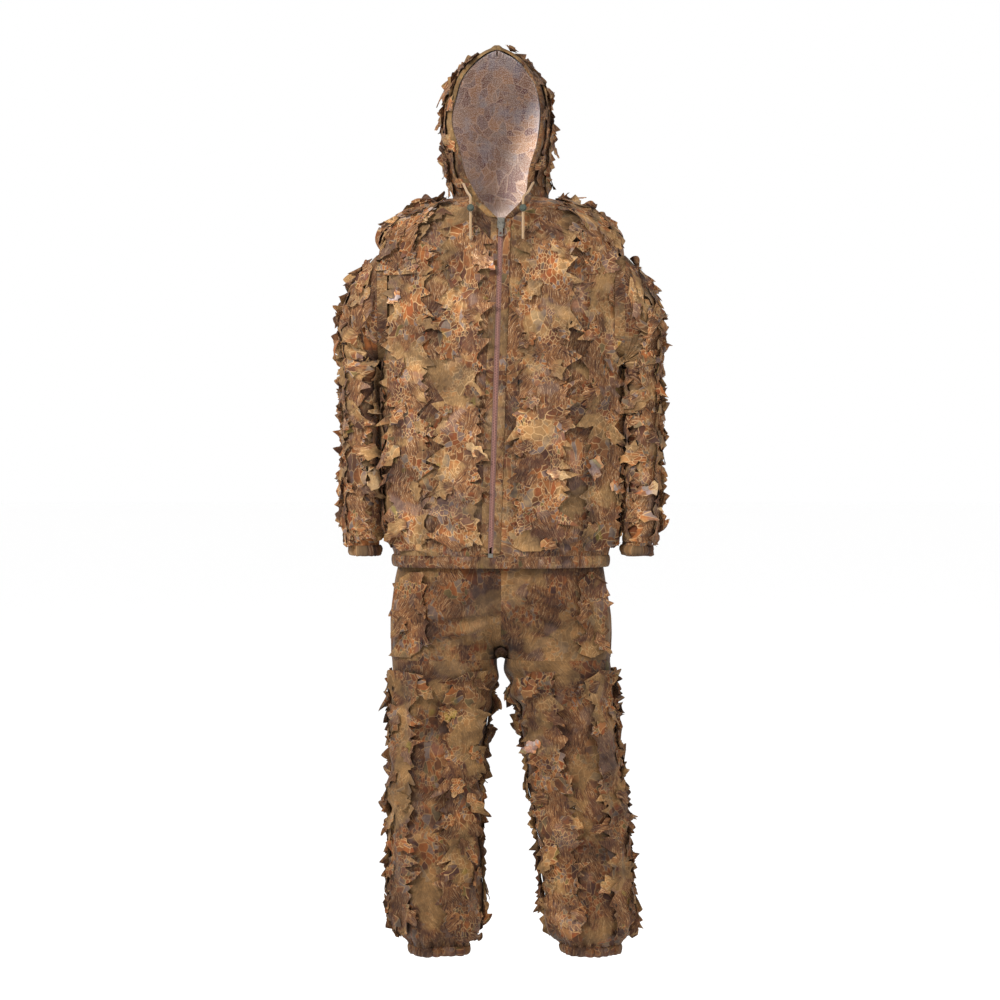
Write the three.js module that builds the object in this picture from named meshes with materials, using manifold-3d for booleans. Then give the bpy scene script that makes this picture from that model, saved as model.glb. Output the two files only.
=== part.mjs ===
// A two-piece leafy camouflage suit: a zipped, hooded jacket and elasticated trousers, covered with
// long ribbons of die-cut leaves. It is modelled as it hangs on a standing adult.
// Millimetres, +Z up, the wearer faces -Y, and the origin is the middle of the neck opening.
// The wearer's right side is at -X.

import * as THREE from 'three';
import { mergeVertices } from 'three/addons/utils/BufferGeometryUtils.js';
import Module from 'manifold-3d';

const wasm = await Module();
wasm.setup();

// ---- Driving dimensions ----

const CLOTH = 2; // thickness of every cloth panel
const GAP = 0.3; // between pieces that touch
const ROUNDNESS = 2.4; // exponent of the superellipse that every garment section follows

const HOOD_TOP = 285; // height of the hood's ridge above the neck seam
const HOOD_SHIFT = -8; // the hood sits a little to the wearer's right
const NECK_HALF = 92; // half the width of the neck seam
const NECK_DEEP = 84; // from the neck's middle to its back

const CHEST_HALF = 231; // half the jacket's width
const HEM_HALF = 208; // half the width of the gathered jacket hem
const JACKET_END = -690; // where the jacket cloth meets its hem casing
const HEM_TALL = 24;
const SHOULDER_DROP = 80; // from the neck seam to the top of the armhole plane

const ZIP_TOP = -43;
const ZIP_END = -684;
const ZIP_SWAY = -20; // sideways shift of the zip's foot
const ZIP_TOP_DEEP = 106; // how far in front of the neck the zip starts
const ZIP_FLARE = 0.045; // how much the front comes forward per millimetre down
const ZIP_SLOT = 9; // half the width between the two front edges
const ZIP_PITCH = 22;
const SLIDER_TALL = 20;
const TAB_LONG = 29;
const TAB_WIDE = 8;

const ARMHOLE_MID = -205;
const ARMHOLE_TALL = 105; // half its height
const ARMHOLE_DEEP = 58; // half its depth
const ARM_SIDE = CHEST_HALF + 8; // where the sleeve's inner wall stands, clear of the chest
const ARM_PIT = -318; // height of the underarm point
const SLEEVE_WIDE = 63;
const SLEEVE_END = -672; // where the sleeve cloth meets the cuff
const CUFF_TALL = 20;

const WAIST = -640; // top of the trousers' waistband
const WAIST_TALL = 40;
const WAIST_HALF = 184;
const HIP_HALF = 214;
const CROTCH = -890;
const LEG_TOP = 112; // from the middle to each leg's axis at the crotch
const LEG_TOP_HALF = 100;
const LEG_HALF = 84;
const ANKLE = -1452; // where the leg cloth meets its elastic
const ANKLE_HALF = 52;
const ANKLE_TALL = 20;

const CASING_WIDE = 22; // width of the folded casing along the face opening
const CORD = 5; // diameter of the hood's drawcord
const LOCK = 14; // diameter of each cord lock
const CORD_START = 27; // height where a cord leaves the hood casing
const CORD_END = -84;
const CORD_X = 50; // from the hood's middle to each hanging cord
const CORD_FRONT = -121; // how far forward the cords hang

const STRIP_LIFT = 9; // between a garment and the leaf ribbon sewn on it
const STRIP = 2; // thickness of a ribbon
const TOOTH = 12; // how far leaf points stand out of a ribbon's edge
const LEAF_STEP = 64; // spacing of the leaf points

// ---- Materials ----

const cloth = { colour: 0x8f6a48, roughness: 0.9, metalness: 0 };
const trouserCloth = { colour: 0x7a5638, roughness: 0.9, metalness: 0 };
const leaf = { colour: 0xa5713f, roughness: 0.85, metalness: 0 };
const casing = { colour: 0x9a7a50, roughness: 0.85, metalness: 0 };
const cordCloth = { colour: 0xa98a5c, roughness: 0.85, metalness: 0 };
const tape = { colour: 0x6e4c3c, roughness: 0.8, metalness: 0 };
const teeth = { colour: 0xb98a74, roughness: 0.45, metalness: 0 };
const metal = { colour: 0x8d8b86, roughness: 0.35, metalness: 0.9 };
const darkPlastic = { colour: 0x20261f, roughness: 0.5, metalness: 0 };

const suit = new THREE.Group();

function add(name, geometry, look, parent = suit) {
  const material = new THREE.MeshStandardMaterial({
    color: look.colour,
    roughness: look.roughness,
    metalness: look.metalness,
    side: THREE.DoubleSide,
  });
  const mesh = new THREE.Mesh(geometry, material);
  mesh.name = name;
  parent.add(mesh);
  return mesh;
}

// ---- Curves and garment sections ----

// A smooth curve through [place, value] keys in rising order, which never overshoots them.
function curve(keys, at) {
  const last = keys.length - 1;
  const place = Math.min(Math.max(at, keys[0][0]), keys[last][0]);
  let i = 0;
  while (i < last - 1 && place > keys[i + 1][0]) i += 1;
  const secant = (k) => (keys[k + 1][1] - keys[k][1]) / (keys[k + 1][0] - keys[k][0]);
  const slope = (k) => {
    if (k === 0) return secant(0);
    if (k === last) return secant(last - 1);
    const before = secant(k - 1);
    const after = secant(k);
    return before * after <= 0 ? 0 : (2 * before * after) / (before + after);
  };
  const width = keys[i + 1][0] - keys[i][0];
  const u = (place - keys[i][0]) / width;
  const h00 = (1 + 2 * u) * (1 - u) * (1 - u);
  const h10 = u * (1 - u) * (1 - u);
  const h01 = u * u * (3 - 2 * u);
  const h11 = u * u * (u - 1);
  return (
    h00 * keys[i][1] + h10 * width * slope(i) + h01 * keys[i + 1][1] + h11 * width * slope(i + 1)
  );
}

const SECTION_STEPS = 60;

// Half of a garment's section, from the front middle round the +X side to the back middle, with the
// length walked to each point.
function halfSection(half, front, back) {
  const points = [];
  let walked = 0;
  for (let i = 0; i <= SECTION_STEPS; i += 1) {
    const angle = (Math.PI * i) / SECTION_STEPS;
    const x = half * Math.pow(Math.max(Math.sin(angle), 0), 2 / ROUNDNESS);
    const c = Math.cos(angle);
    const deep = c > 0 ? front : back;
    const y = -Math.sign(c) * deep * Math.pow(Math.abs(c), 2 / ROUNDNESS);
    if (i > 0) walked += Math.hypot(x - points[i - 1].x, y - points[i - 1].y);
    points.push({ x, y, walked });
  }
  return points;
}

// A garment tube. shape gives, for each place along it, the section's middle, its half width, its
// depths and the tilt of its outward direction. Points on it are found by place and by the distance
// walked round from the front middle, positive towards +X.
class Garment {
  constructor(shape) {
    this.shape = shape;
    this.sections = new Map();
  }

  section(at) {
    if (!this.sections.has(at)) {
      const s = this.shape(at);
      this.sections.set(at, { ...s, points: halfSection(s.half, s.front, s.back) });
    }
    return this.sections.get(at);
  }

  // Half the way round the section.
  round(at) {
    return this.section(at).points[SECTION_STEPS].walked;
  }

  point(at, distance) {
    const s = this.section(at);
    const whole = this.round(at);
    let d = distance;
    if (d > whole) d -= 2 * whole;
    if (d < -whole) d += 2 * whole;
    const side = d < 0 ? -1 : 1;
    const walk = Math.min(Math.abs(d), whole);
    let i = 1;
    while (i < SECTION_STEPS && s.points[i].walked < walk) i += 1;
    const a = s.points[i - 1];
    const b = s.points[i];
    const u = (walk - a.walked) / (b.walked - a.walked);
    const across = side * (a.x + (b.x - a.x) * u);
    const deep = a.y + (b.y - a.y) * u;
    return new THREE.Vector3(
      s.x + across * Math.cos(s.tilt),
      s.y + deep,
      s.z + across * Math.sin(s.tilt)
    );
  }

  normal(at, distance) {
    const step = 0.5;
    const along = this.point(at, distance + step * 4).sub(this.point(at, distance - step * 4));
    const down = this.point(at + step * this.grain(), distance).sub(
      this.point(at - step * this.grain(), distance)
    );
    const n = new THREE.Vector3().crossVectors(along, down).normalize();
    const s = this.section(at);
    const out = this.point(at, distance).sub(new THREE.Vector3(s.x, s.y, s.z));
    return n.dot(out) < 0 ? n.negate() : n;
  }

  grain() {
    return this.shape.grain;
  }

  // The distance, on the front of the +X side, where the section is x wide.
  whereWide(at, x) {
    const s = this.section(at).points;
    let i = 1;
    while (i < SECTION_STEPS / 2 && s[i].x < x) i += 1;
    const u = Math.min((x - s[i - 1].x) / (s[i].x - s[i - 1].x), 1);
    return s[i - 1].walked + (s[i].walked - s[i - 1].walked) * u;
  }

  // The distance, on the +X side, where the section is y deep.
  whereDeep(at, y) {
    const s = this.section(at).points;
    let i = 1;
    while (i < SECTION_STEPS && s[i].y < y) i += 1;
    const u = (y - s[i - 1].y) / (s[i].y - s[i - 1].y);
    return s[i - 1].walked + (s[i].walked - s[i - 1].walked) * u;
  }
}

function garment(grain, shape) {
  shape.grain = grain;
  return new Garment(shape);
}

// ---- Closed sheets ----

// A closed sheet between two offsets of a grid of surface points. rows hold { p, n }. wrapped joins the
// last column to the first.
function sheet(rows, inner, outer, wrapped = false) {
  const high = rows.length;
  const wide = rows[0].length;
  const position = [];
  for (const offset of [outer, inner]) {
    for (const row of rows) {
      for (const { p, n } of row) position.push(...p.clone().addScaledVector(n, offset).toArray());
    }
  }
  const id = (layer, r, c) => layer * high * wide + r * wide + (c % wide);
  const index = [];
  const quad = (a, b, c, d) => index.push(a, b, c, a, c, d);
  const across = wrapped ? wide : wide - 1;
  for (let r = 0; r < high - 1; r += 1) {
    for (let c = 0; c < across; c += 1) {
      quad(id(0, r, c), id(0, r + 1, c), id(0, r + 1, c + 1), id(0, r, c + 1));
      quad(id(1, r, c), id(1, r, c + 1), id(1, r + 1, c + 1), id(1, r + 1, c));
    }
  }
  for (let c = 0; c < across; c += 1) {
    quad(id(0, 0, c), id(0, 0, c + 1), id(1, 0, c + 1), id(1, 0, c));
    quad(id(0, high - 1, c), id(1, high - 1, c), id(1, high - 1, c + 1), id(0, high - 1, c + 1));
  }
  if (!wrapped) {
    for (let r = 0; r < high - 1; r += 1) {
      quad(id(0, r, 0), id(1, r, 0), id(1, r + 1, 0), id(0, r + 1, 0));
      const c = wide - 1;
      quad(id(0, r, c), id(0, r + 1, c), id(1, r + 1, c), id(1, r, c));
    }
  }
  const geometry = new THREE.BufferGeometry();
  geometry.setAttribute('position', new THREE.Float32BufferAttribute(position, 3));
  geometry.setIndex(index);
  if (signedVolume(geometry) < 0) geometry.setIndex(flipped(index));
  geometry.computeVertexNormals();
  return geometry;
}

function flipped(index) {
  const turned = [];
  for (let i = 0; i < index.length; i += 3) turned.push(index[i], index[i + 2], index[i + 1]);
  return turned;
}

function signedVolume(geometry) {
  const p = geometry.getAttribute('position');
  const index = geometry.getIndex();
  const corner = [new THREE.Vector3(), new THREE.Vector3(), new THREE.Vector3()];
  let volume = 0;
  for (let i = 0; i < index.count; i += 3) {
    corner.forEach((v, k) => v.fromBufferAttribute(p, index.getX(i + k)));
    volume += corner[0].dot(corner[1].clone().cross(corner[2])) / 6;
  }
  return volume;
}

// A panel of a garment between two edges, each a function of the place along it.
function panel(tube, places, from, to, columns, inner = 0, outer = CLOTH) {
  const rows = places.map((at) => {
    const row = [];
    for (let c = 0; c <= columns; c += 1) {
      const d = from(at) + ((to(at) - from(at)) * c) / columns;
      row.push({ p: tube.point(at, d), n: tube.normal(at, d) });
    }
    return row;
  });
  return sheet(rows, inner, outer);
}

// A band that goes all the way round a garment.
function band(tube, places, columns, inner, outer) {
  const rows = places.map((at) => {
    const row = [];
    for (let c = 0; c < columns; c += 1) {
      const d = -tube.round(at) + (2 * tube.round(at) * c) / columns;
      row.push({ p: tube.point(at, d), n: tube.normal(at, d) });
    }
    return row;
  });
  return sheet(rows, inner, outer, true);
}

// A ribbon of leaves: its edges stand out at every second row, the two sides by turns.
function ribbon(tube, start, end, step, middle, half, phase = 0) {
  const count = Math.max(2, Math.round(Math.abs(end - start) / step));
  const rows = [];
  for (let r = 0; r <= count; r += 1) {
    const at = start + ((end - start) * r) / count;
    const right = half(at) + ((r + phase) % 2 === 0 ? TOOTH : 0);
    const left = half(at) + ((r + phase) % 2 === 0 ? 0 : TOOTH);
    const mid = middle(at);
    rows.push(
      [-left, 0, right].map((d) => ({ p: tube.point(at, mid + d), n: tube.normal(at, mid + d) }))
    );
  }
  return sheet(rows, STRIP_LIFT, STRIP_LIFT + STRIP);
}

function places(...list) {
  return list;
}

function evenly(from, to, count) {
  return Array.from({ length: count + 1 }, (_, i) => from + ((to - from) * i) / count);
}

// ---- The garments' shapes ----

const frontAt = (z) => ZIP_TOP_DEEP + (ZIP_TOP - z) * ZIP_FLARE;
const zipX = (z) => (ZIP_SWAY * Math.max(ZIP_TOP - z, 0)) / (ZIP_TOP - ZIP_END);

const torso = garment(1, (z) => ({
  x: 0,
  y: 0,
  z,
  tilt: 0,
  half: curve(
    [
      [JACKET_END - HEM_TALL, HEM_HALF],
      [JACKET_END, HEM_HALF],
      [JACKET_END + 60, CHEST_HALF - 6],
      [-450, CHEST_HALF],
      [-SHOULDER_DROP, CHEST_HALF - 1],
      [-52, CHEST_HALF - 19],
      [-26, CHEST_HALF - 54],
      [-10, CHEST_HALF - 96],
      [0, NECK_HALF],
    ],
    z
  ),
  front:
    z < ZIP_TOP
      ? frontAt(z)
      : curve(
          [
            [ZIP_TOP, ZIP_TOP_DEEP],
            [-20, ZIP_TOP_DEEP - 8],
            [0, ZIP_TOP_DEEP - 18],
          ],
          z
        ),
  back: curve(
    [
      [JACKET_END, 126],
      [-450, 136],
      [-200, 138],
      [-90, 126],
      [-30, 102],
      [0, NECK_DEEP],
    ],
    z
  ),
}));

const faceHalf = (z) =>
  curve(
    [
      [ZIP_TOP, ZIP_SLOT],
      [0, 46],
      [60, 64],
      [110, 79],
      [160, 84],
      [205, 76],
      [240, 57],
      [262, 37],
      [274, 18],
      [280, 1],
      [HOOD_TOP, 0.5],
    ],
    z
  );

const hood = garment(0.5, (z) => ({
  x: curve(
    [
      [0, 0],
      [60, HOOD_SHIFT],
      [HOOD_TOP, HOOD_SHIFT],
    ],
    z
  ),
  y: 0,
  z,
  tilt: 0,
  half: curve(
    [
      [0, NECK_HALF],
      [60, 97],
      [130, 102],
      [180, 99],
      [220, 85],
      [248, 66],
      [266, 45],
      [278, 22],
      [HOOD_TOP, 0.6],
    ],
    z
  ),
  front: curve(
    [
      [0, ZIP_TOP_DEEP - 18],
      [80, 104],
      [180, 108],
      [250, 100],
      [HOOD_TOP, 82],
    ],
    z
  ),
  back: curve(
    [
      [0, NECK_DEEP],
      [50, 106],
      [130, 124],
      [200, 118],
      [250, 90],
      [HOOD_TOP, 40],
    ],
    z
  ),
}));

// A sleeve is followed by steps: a fan of sections round the underarm, then straight down the arm.
const FAN = 5;
const sleeve = (side) =>
  garment(0.02, (step) => {
    const wide = curve(
      [
        [0, ARMHOLE_TALL * 2],
        [1, 152],
        [2, 108],
        [3, 80],
        [4, SLEEVE_WIDE + 5],
        [FAN, SLEEVE_WIDE],
        [9, SLEEVE_WIDE],
        [10, SLEEVE_WIDE - 9],
        [11, SLEEVE_WIDE - 12],
      ],
      step
    );
    const tilt = THREE.MathUtils.degToRad(
      curve(
        [
          [0, 90],
          [1, 72],
          [2, 52],
          [3, 30],
          [4, 10],
          [FAN, 0],
        ],
        step
      )
    );
    const pit = curve(
      [
        [0, ARM_PIT],
        [4, ARM_PIT],
        [FAN, ARM_PIT - 22],
        [10, SLEEVE_END],
        [11, SLEEVE_END - CUFF_TALL],
      ],
      step
    );
    const deep = curve(
      [
        [0, ARMHOLE_DEEP],
        [3, 66],
        [7, 62],
        [9, 56],
        [10, 46],
        [11, 44],
      ],
      step
    );
    return {
      x: side * (ARM_SIDE + (wide / 2) * Math.cos(tilt)),
      y: curve(
        [
          [0, 0],
          [6, 0],
          [11, -14],
        ],
        step
      ),
      z: pit + (wide / 2) * Math.sin(tilt),
      tilt: side * tilt,
      half: wide / 2,
      front: deep,
      back: deep,
    };
  });

const hips = garment(1, (z) => ({
  x: 0,
  y: 0,
  z,
  tilt: 0,
  half: curve(
    [
      [CROTCH, HIP_HALF],
      [-820, HIP_HALF],
      [-760, HIP_HALF - 6],
      [-714, HIP_HALF - 14],
      [WAIST - WAIST_TALL, WAIST_HALF + 4],
      [WAIST, WAIST_HALF],
    ],
    z
  ),
  front: curve(
    [
      [CROTCH, 104],
      [-820, 120],
      [-714, 122],
      [WAIST, 112],
    ],
    z
  ),
  back: curve(
    [
      [CROTCH, 112],
      [-820, 126],
      [-714, 116],
      [WAIST, 104],
    ],
    z
  ),
}));

const legAxis = {
  right: [
    [ANKLE, -122],
    [-1250, -130],
    [-1050, -121],
    [CROTCH, -LEG_TOP],
  ],
  left: [
    [ANKLE, 176],
    [-1250, 160],
    [-1050, 134],
    [CROTCH, LEG_TOP],
  ],
};

const leg = (name) =>
  garment(1, (z) => ({
    x: curve(legAxis[name], z),
    y: 4,
    z,
    tilt: 0,
    half: curve(
      [
        [ANKLE - ANKLE_TALL, ANKLE_HALF],
        [ANKLE, ANKLE_HALF + 2],
        [ANKLE + 26, LEG_HALF - 9],
        [ANKLE + 70, LEG_HALF],
        [-1250, LEG_HALF],
        [-1050, LEG_HALF + 4],
        [CROTCH - 2, LEG_TOP_HALF],
      ],
      z
    ),
    front: curve(
      [
        [ANKLE - ANKLE_TALL, ANKLE_HALF],
        [ANKLE, ANKLE_HALF + 2],
        [ANKLE + 30, 74],
        [-1250, 80],
        [-1050, 86],
        [CROTCH - 2, 108],
      ],
      z
    ),
    back: curve(
      [
        [ANKLE - ANKLE_TALL, ANKLE_HALF],
        [ANKLE, ANKLE_HALF + 2],
        [ANKLE + 30, 76],
        [-1250, 84],
        [-1050, 92],
        [CROTCH - 2, 108],
      ],
      z
    ),
  }));

// ---- The jacket's body ----

const JACKET_ROWS = [
  ...places(-2, -10, -20, -32, ZIP_TOP, -60, -SHOULDER_DROP),
  ...evenly(ARMHOLE_MID + ARMHOLE_TALL, ARMHOLE_MID - ARMHOLE_TALL, 6),
  ...evenly(-360, JACKET_END, 4),
];

// Half the armhole's depth at a height.
function armhole(z) {
  const up = (z - ARMHOLE_MID) / ARMHOLE_TALL;
  return Math.abs(up) < 1 ? ARMHOLE_DEEP * Math.sqrt(1 - up * up) : 0;
}

const frontSeam = (z) => torso.whereDeep(z, -armhole(z)) - GAP;
const backSeam = (z) => torso.whereDeep(z, armhole(z)) + GAP;
const frontEdge = (z) => torso.whereWide(z, z > ZIP_TOP ? faceHalf(z) : ZIP_SLOT);

add(
  'left_front_panel',
  panel(torso, JACKET_ROWS, (z) => zipX(z) + frontEdge(z), frontSeam, 6),
  cloth
);
add(
  'right_front_panel',
  panel(torso, JACKET_ROWS, (z) => zipX(z) - frontEdge(z), (z) => -frontSeam(z), 6),
  cloth
);
add(
  'back_panel',
  panel(torso, JACKET_ROWS, backSeam, (z) => 2 * torso.round(z) - backSeam(z), 9),
  cloth
);
const HEM_ROWS = places(JACKET_END - 1, JACKET_END - HEM_TALL / 2, JACKET_END - HEM_TALL);
add(
  'jacket_hem_elastic',
  panel(
    torso,
    HEM_ROWS,
    () => ZIP_SLOT + ZIP_SWAY + 3,
    (z) => 2 * torso.round(z) - ZIP_SLOT + ZIP_SWAY - 3,
    22,
    0,
    CLOTH + 1
  ),
  casing
);

// ---- The hood, its edge casing and its drawcord ----

const SIDE_ROWS = places(CORD_START, 40, 60, 85, 115, 145, 172, 197, 220, 240, 256, 268, 277);
const HOOD_ROWS = places(0, ...SIDE_ROWS, 282, HOOD_TOP);
const hoodEdge = (z) => hood.whereWide(z, faceHalf(z) + GAP);

add('left_hood_panel', panel(hood, HOOD_ROWS, hoodEdge, (z) => hood.round(z) - GAP, 7), cloth);
add(
  'right_hood_panel',
  panel(hood, HOOD_ROWS, (z) => -hoodEdge(z), (z) => GAP - hood.round(z), 7),
  cloth
);

// The face opening's edge, from the right bottom over the top to the left bottom.
const EDGE_UP = places(...SIDE_ROWS, 283);
const edgePlaces = [
  ...EDGE_UP.map((z) => ({ z, side: -1 })),
  ...EDGE_UP.toReversed().map((z) => ({ z, side: 1 })),
];

function alongEdge(back, lift) {
  return edgePlaces.map(({ z, side }) => {
    const d = side * (hoodEdge(z) + back);
    return hood.point(z, d).addScaledVector(hood.normal(z, d), lift);
  });
}

const CORD_LIFT = 1.8; // between the hood and the cord inside its casing
const CASING_LIFT = CLOTH + CORD + 2 * CORD_LIFT;
const casingRows = edgePlaces.map(({ z, side }) =>
  [1, CASING_WIDE / 2, CASING_WIDE].map((back) => {
    const d = side * (hoodEdge(z) + back);
    return { p: hood.point(z, d), n: hood.normal(z, d) };
  })
);
add('hood_edge_casing', sheet(casingRows, CASING_LIFT, CASING_LIFT + 1.5), casing);

function tube(points, diameter, sides, steps) {
  const circle = new THREE.Shape();
  for (let i = 0; i < sides; i += 1) {
    const angle = (2 * Math.PI * i) / sides;
    const x = (Math.cos(angle) * diameter) / 2;
    const y = (Math.sin(angle) * diameter) / 2;
    if (i === 0) circle.moveTo(x, y);
    else circle.lineTo(x, y);
  }
  circle.closePath();
  const path = new THREE.CatmullRomCurve3(points, false, 'centripetal');
  return new THREE.ExtrudeGeometry(circle, {
    steps,
    extrudePath: path,
    bevelEnabled: false,
    curveSegments: 1,
  });
}

const cordRoute = alongEdge(CASING_WIDE / 2, CLOTH + CORD / 2 + CORD_LIFT);
add('hood_cord', tube(cordRoute, CORD, 8, 36), cordCloth);

// Each cord end leaves the casing, comes forward over the chest and hangs straight to its tip.
function cordEnd(side) {
  const start = side < 0 ? cordRoute[0] : cordRoute[cordRoute.length - 1];
  const x = HOOD_SHIFT + side * CORD_X;
  return [
    new THREE.Vector3(start.x, start.y, start.z - CORD),
    new THREE.Vector3((start.x + x) / 2, (start.y + CORD_FRONT) / 2 - 4, 7),
    new THREE.Vector3(x, CORD_FRONT, -7),
    new THREE.Vector3(x, CORD_FRONT, -12),
    new THREE.Vector3(x, CORD_FRONT, -38),
    new THREE.Vector3(x, CORD_FRONT, -60),
    new THREE.Vector3(x, CORD_FRONT, CORD_END),
  ];
}

for (const [name, side] of [['right', -1], ['left', 1]]) {
  add(`${name}_cord_end`, tube(cordEnd(side), CORD, 8, 12), cordCloth);
}

// ---- Solids joined and cut ----

function solid(geometry) {
  const bare = geometry.clone();
  bare.deleteAttribute('normal');
  bare.deleteAttribute('uv');
  const merged = mergeVertices(bare, 1e-3);
  return new wasm.Manifold(
    new wasm.Mesh({
      numProp: 3,
      vertProperties: new Float32Array(merged.getAttribute('position').array),
      triVerts: new Uint32Array(merged.getIndex().array),
    })
  );
}

function fromSolid(shape) {
  const mesh = shape.getMesh();
  const geometry = new THREE.BufferGeometry();
  geometry.setAttribute('position', new THREE.Float32BufferAttribute(mesh.vertProperties, 3));
  geometry.setIndex(Array.from(mesh.triVerts));
  geometry.computeVertexNormals();
  return geometry;
}

function box(x0, x1, y0, y1, z0, z1) {
  const geometry = new THREE.BoxGeometry(x1 - x0, y1 - y0, z1 - z0);
  return geometry.translate((x0 + x1) / 2, (y0 + y1) / 2, (z0 + z1) / 2);
}

// ---- Cord locks: a round barrel facing forward, crossed by the cord, with a push button ----

const LOCK_Z = -25; // where each lock sits on its cord
const BUTTON = 9; // diameter of the button
const BUTTON_OUT = 4; // how far it stands out of the barrel
const BUTTON_PRESS = 3;
const BORE_GAP = 0.4; // round the cord inside the lock
const LOCK_WALL = 1.4; // between the button's recess and the cord's hole

function cordLock(name, side) {
  const reach = CORD / 2 + BORE_GAP;
  const recess = BUTTON_PRESS + 1;
  const front = -(reach + LOCK_WALL + recess);
  const back = reach + 2.5;
  const middle = (LOCK / 2) * 0.97;
  const profile = [
    [0, front],
    [middle - 1.2, front],
    [middle, front + 1.2],
    [LOCK / 2, 0],
    [middle, back - 1.2],
    [middle - 1.2, back],
    [0, back],
  ].map(([r, y]) => new THREE.Vector2(r, y));
  const barrel = solid(new THREE.LatheGeometry(profile, 16));
  const bore = new THREE.CylinderGeometry(reach, reach, LOCK * 2, 12).rotateX(Math.PI / 2);
  const pocket = new THREE.CylinderGeometry(
    BUTTON / 2 + GAP,
    BUTTON / 2 + GAP,
    recess * 2,
    12
  ).translate(0, front, 0);
  const lock = new THREE.Group();
  lock.position.set(HOOD_SHIFT + side * CORD_X, CORD_FRONT, LOCK_Z);
  suit.add(lock);
  const body = barrel.subtract(solid(bore)).subtract(solid(pocket));
  add(`${name}_cord_lock`, fromSolid(body), darkPlastic, lock);
  const tall = BUTTON_OUT + GAP;
  const button = new THREE.CylinderGeometry(BUTTON / 2, BUTTON / 2, tall, 12);
  add(
    `${name}_lock_button`,
    button.translate(0, front - BUTTON_OUT + tall / 2, 0),
    darkPlastic,
    lock
  );
}

cordLock('right', -1);
cordLock('left', 1);

// ---- The front zip, built straight along its own line ----

const TAPE = 1;
const TAPE_REACH = 17; // outer edge of each tape, sewn behind the front panel
const TOOTH_REACH = 4; // outer edge of each row of teeth
const TOOTH_DEEP = 3;
const SLIDER_WALL = 2;
const TAB_THICK = 1.6;
const LUG = 1.5;

const zip = new THREE.Group();
const zipHead = new THREE.Vector3(0, -ZIP_TOP_DEEP, ZIP_TOP);
const zipFoot = new THREE.Vector3(ZIP_SWAY, -frontAt(ZIP_END), ZIP_END);
const zipLong = zipHead.distanceTo(zipFoot);
zip.position.copy(zipHead);
zip.quaternion.setFromUnitVectors(
  new THREE.Vector3(0, 0, -1),
  zipFoot.clone().sub(zipHead).normalize()
);
suit.add(zip);

// One row of teeth: a spine with a block at every pitch. first is how far down the row its blocks start.
function toothRow(first) {
  const shape = new THREE.Shape();
  const spine = -1.9;
  const tip = 1.4;
  const block = ZIP_PITCH / 2 - 2 * GAP;
  shape.moveTo(-TOOTH_REACH, 0);
  shape.lineTo(spine, 0);
  for (let z = first; z + block < zipLong; z += ZIP_PITCH) {
    shape.lineTo(spine, -z);
    shape.lineTo(tip, -z);
    shape.lineTo(tip, -z - block);
    shape.lineTo(spine, -z - block);
  }
  shape.lineTo(spine, -zipLong);
  shape.lineTo(-TOOTH_REACH, -zipLong);
  shape.closePath();
  const row = new THREE.ExtrudeGeometry(shape, { depth: TOOTH_DEEP, bevelEnabled: false });
  return row.rotateX(Math.PI / 2);
}

const rightTeeth = toothRow(2);
const leftTeeth = toothRow(2 + ZIP_PITCH / 2);
leftTeeth.rotateZ(Math.PI).translate(0, -TOOTH_DEEP, 0);
add('right_zip_teeth', rightTeeth, teeth, zip);
add('left_zip_teeth', leftTeeth, teeth, zip);
const tapeFront = 5 * GAP; // the front bows away from the zip line by up to about a millimetre
for (const [name, side] of [['right', -1], ['left', 1]]) {
  const from = side < 0 ? -TAPE_REACH : GAP;
  add(
    `${name}_zip_tape`,
    box(from, from + TAPE_REACH - GAP, tapeFront, tapeFront + TAPE, -zipLong, 0),
    tape,
    zip
  );
}

// The slider wraps the front and sides of the teeth, and two lugs hold its pull tab.
const sliderIn = TOOTH_REACH + 2 * GAP;
const sliderOut = sliderIn + SLIDER_WALL;
const plateBack = -TOOTH_DEEP - GAP * 2;
const plateFront = plateBack - SLIDER_WALL;
const sliderParts = [
  box(-sliderOut, sliderOut, plateFront, plateBack, -SLIDER_TALL, 0),
  box(-sliderOut, -sliderIn, plateBack - 0.1, 0, -SLIDER_TALL, 0),
  box(sliderIn, sliderOut, plateBack - 0.1, 0, -SLIDER_TALL, 0),
];
const TAB_NECK = 3.6;
const tabAxisY = plateFront - 3;
const tabAxisZ = -SLIDER_TALL * 0.35;
for (const side of [-1, 1]) {
  const inner = side * (TAB_NECK / 2 + GAP);
  const outer = inner + side * LUG;
  sliderParts.push(
    box(
      Math.min(inner, outer),
      Math.max(inner, outer),
      tabAxisY - 2,
      plateFront + 0.1,
      tabAxisZ - 3,
      tabAxisZ + 3
    )
  );
}
add('zip_slider', fromSolid(sliderParts.map(solid).reduce((a, b) => a.add(b))), metal, zip);

// The tab hangs from a barrel between the lugs and has a square hole near its end.
const barrel = new THREE.CylinderGeometry(1.8, 1.8, TAB_NECK, 12).rotateZ(Math.PI / 2);
const plateEnd = -TAB_LONG;
const tabParts = [
  barrel,
  box(-TAB_NECK / 2, TAB_NECK / 2, -TAB_THICK / 2, TAB_THICK / 2, -6, 0),
  box(-TAB_WIDE / 2, TAB_WIDE / 2, -TAB_THICK / 2, TAB_THICK / 2, plateEnd, -5),
];
const tabHole = box(-2.2, 2.2, -TAB_THICK, TAB_THICK, plateEnd + 3, plateEnd + 8);
const tab = tabParts.map(solid).reduce((a, b) => a.add(b)).subtract(solid(tabHole));
const tabMesh = add('zip_pull_tab', fromSolid(tab), metal, zip);
tabMesh.position.set(0, tabAxisY, tabAxisZ);

// The box at the zip's foot holds both rows of teeth together.
add(
  'zip_bottom_box',
  box(-sliderIn, sliderIn, plateBack, tapeFront + TAPE, -zipLong - 8, -zipLong - GAP),
  metal,
  zip
);

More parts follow.
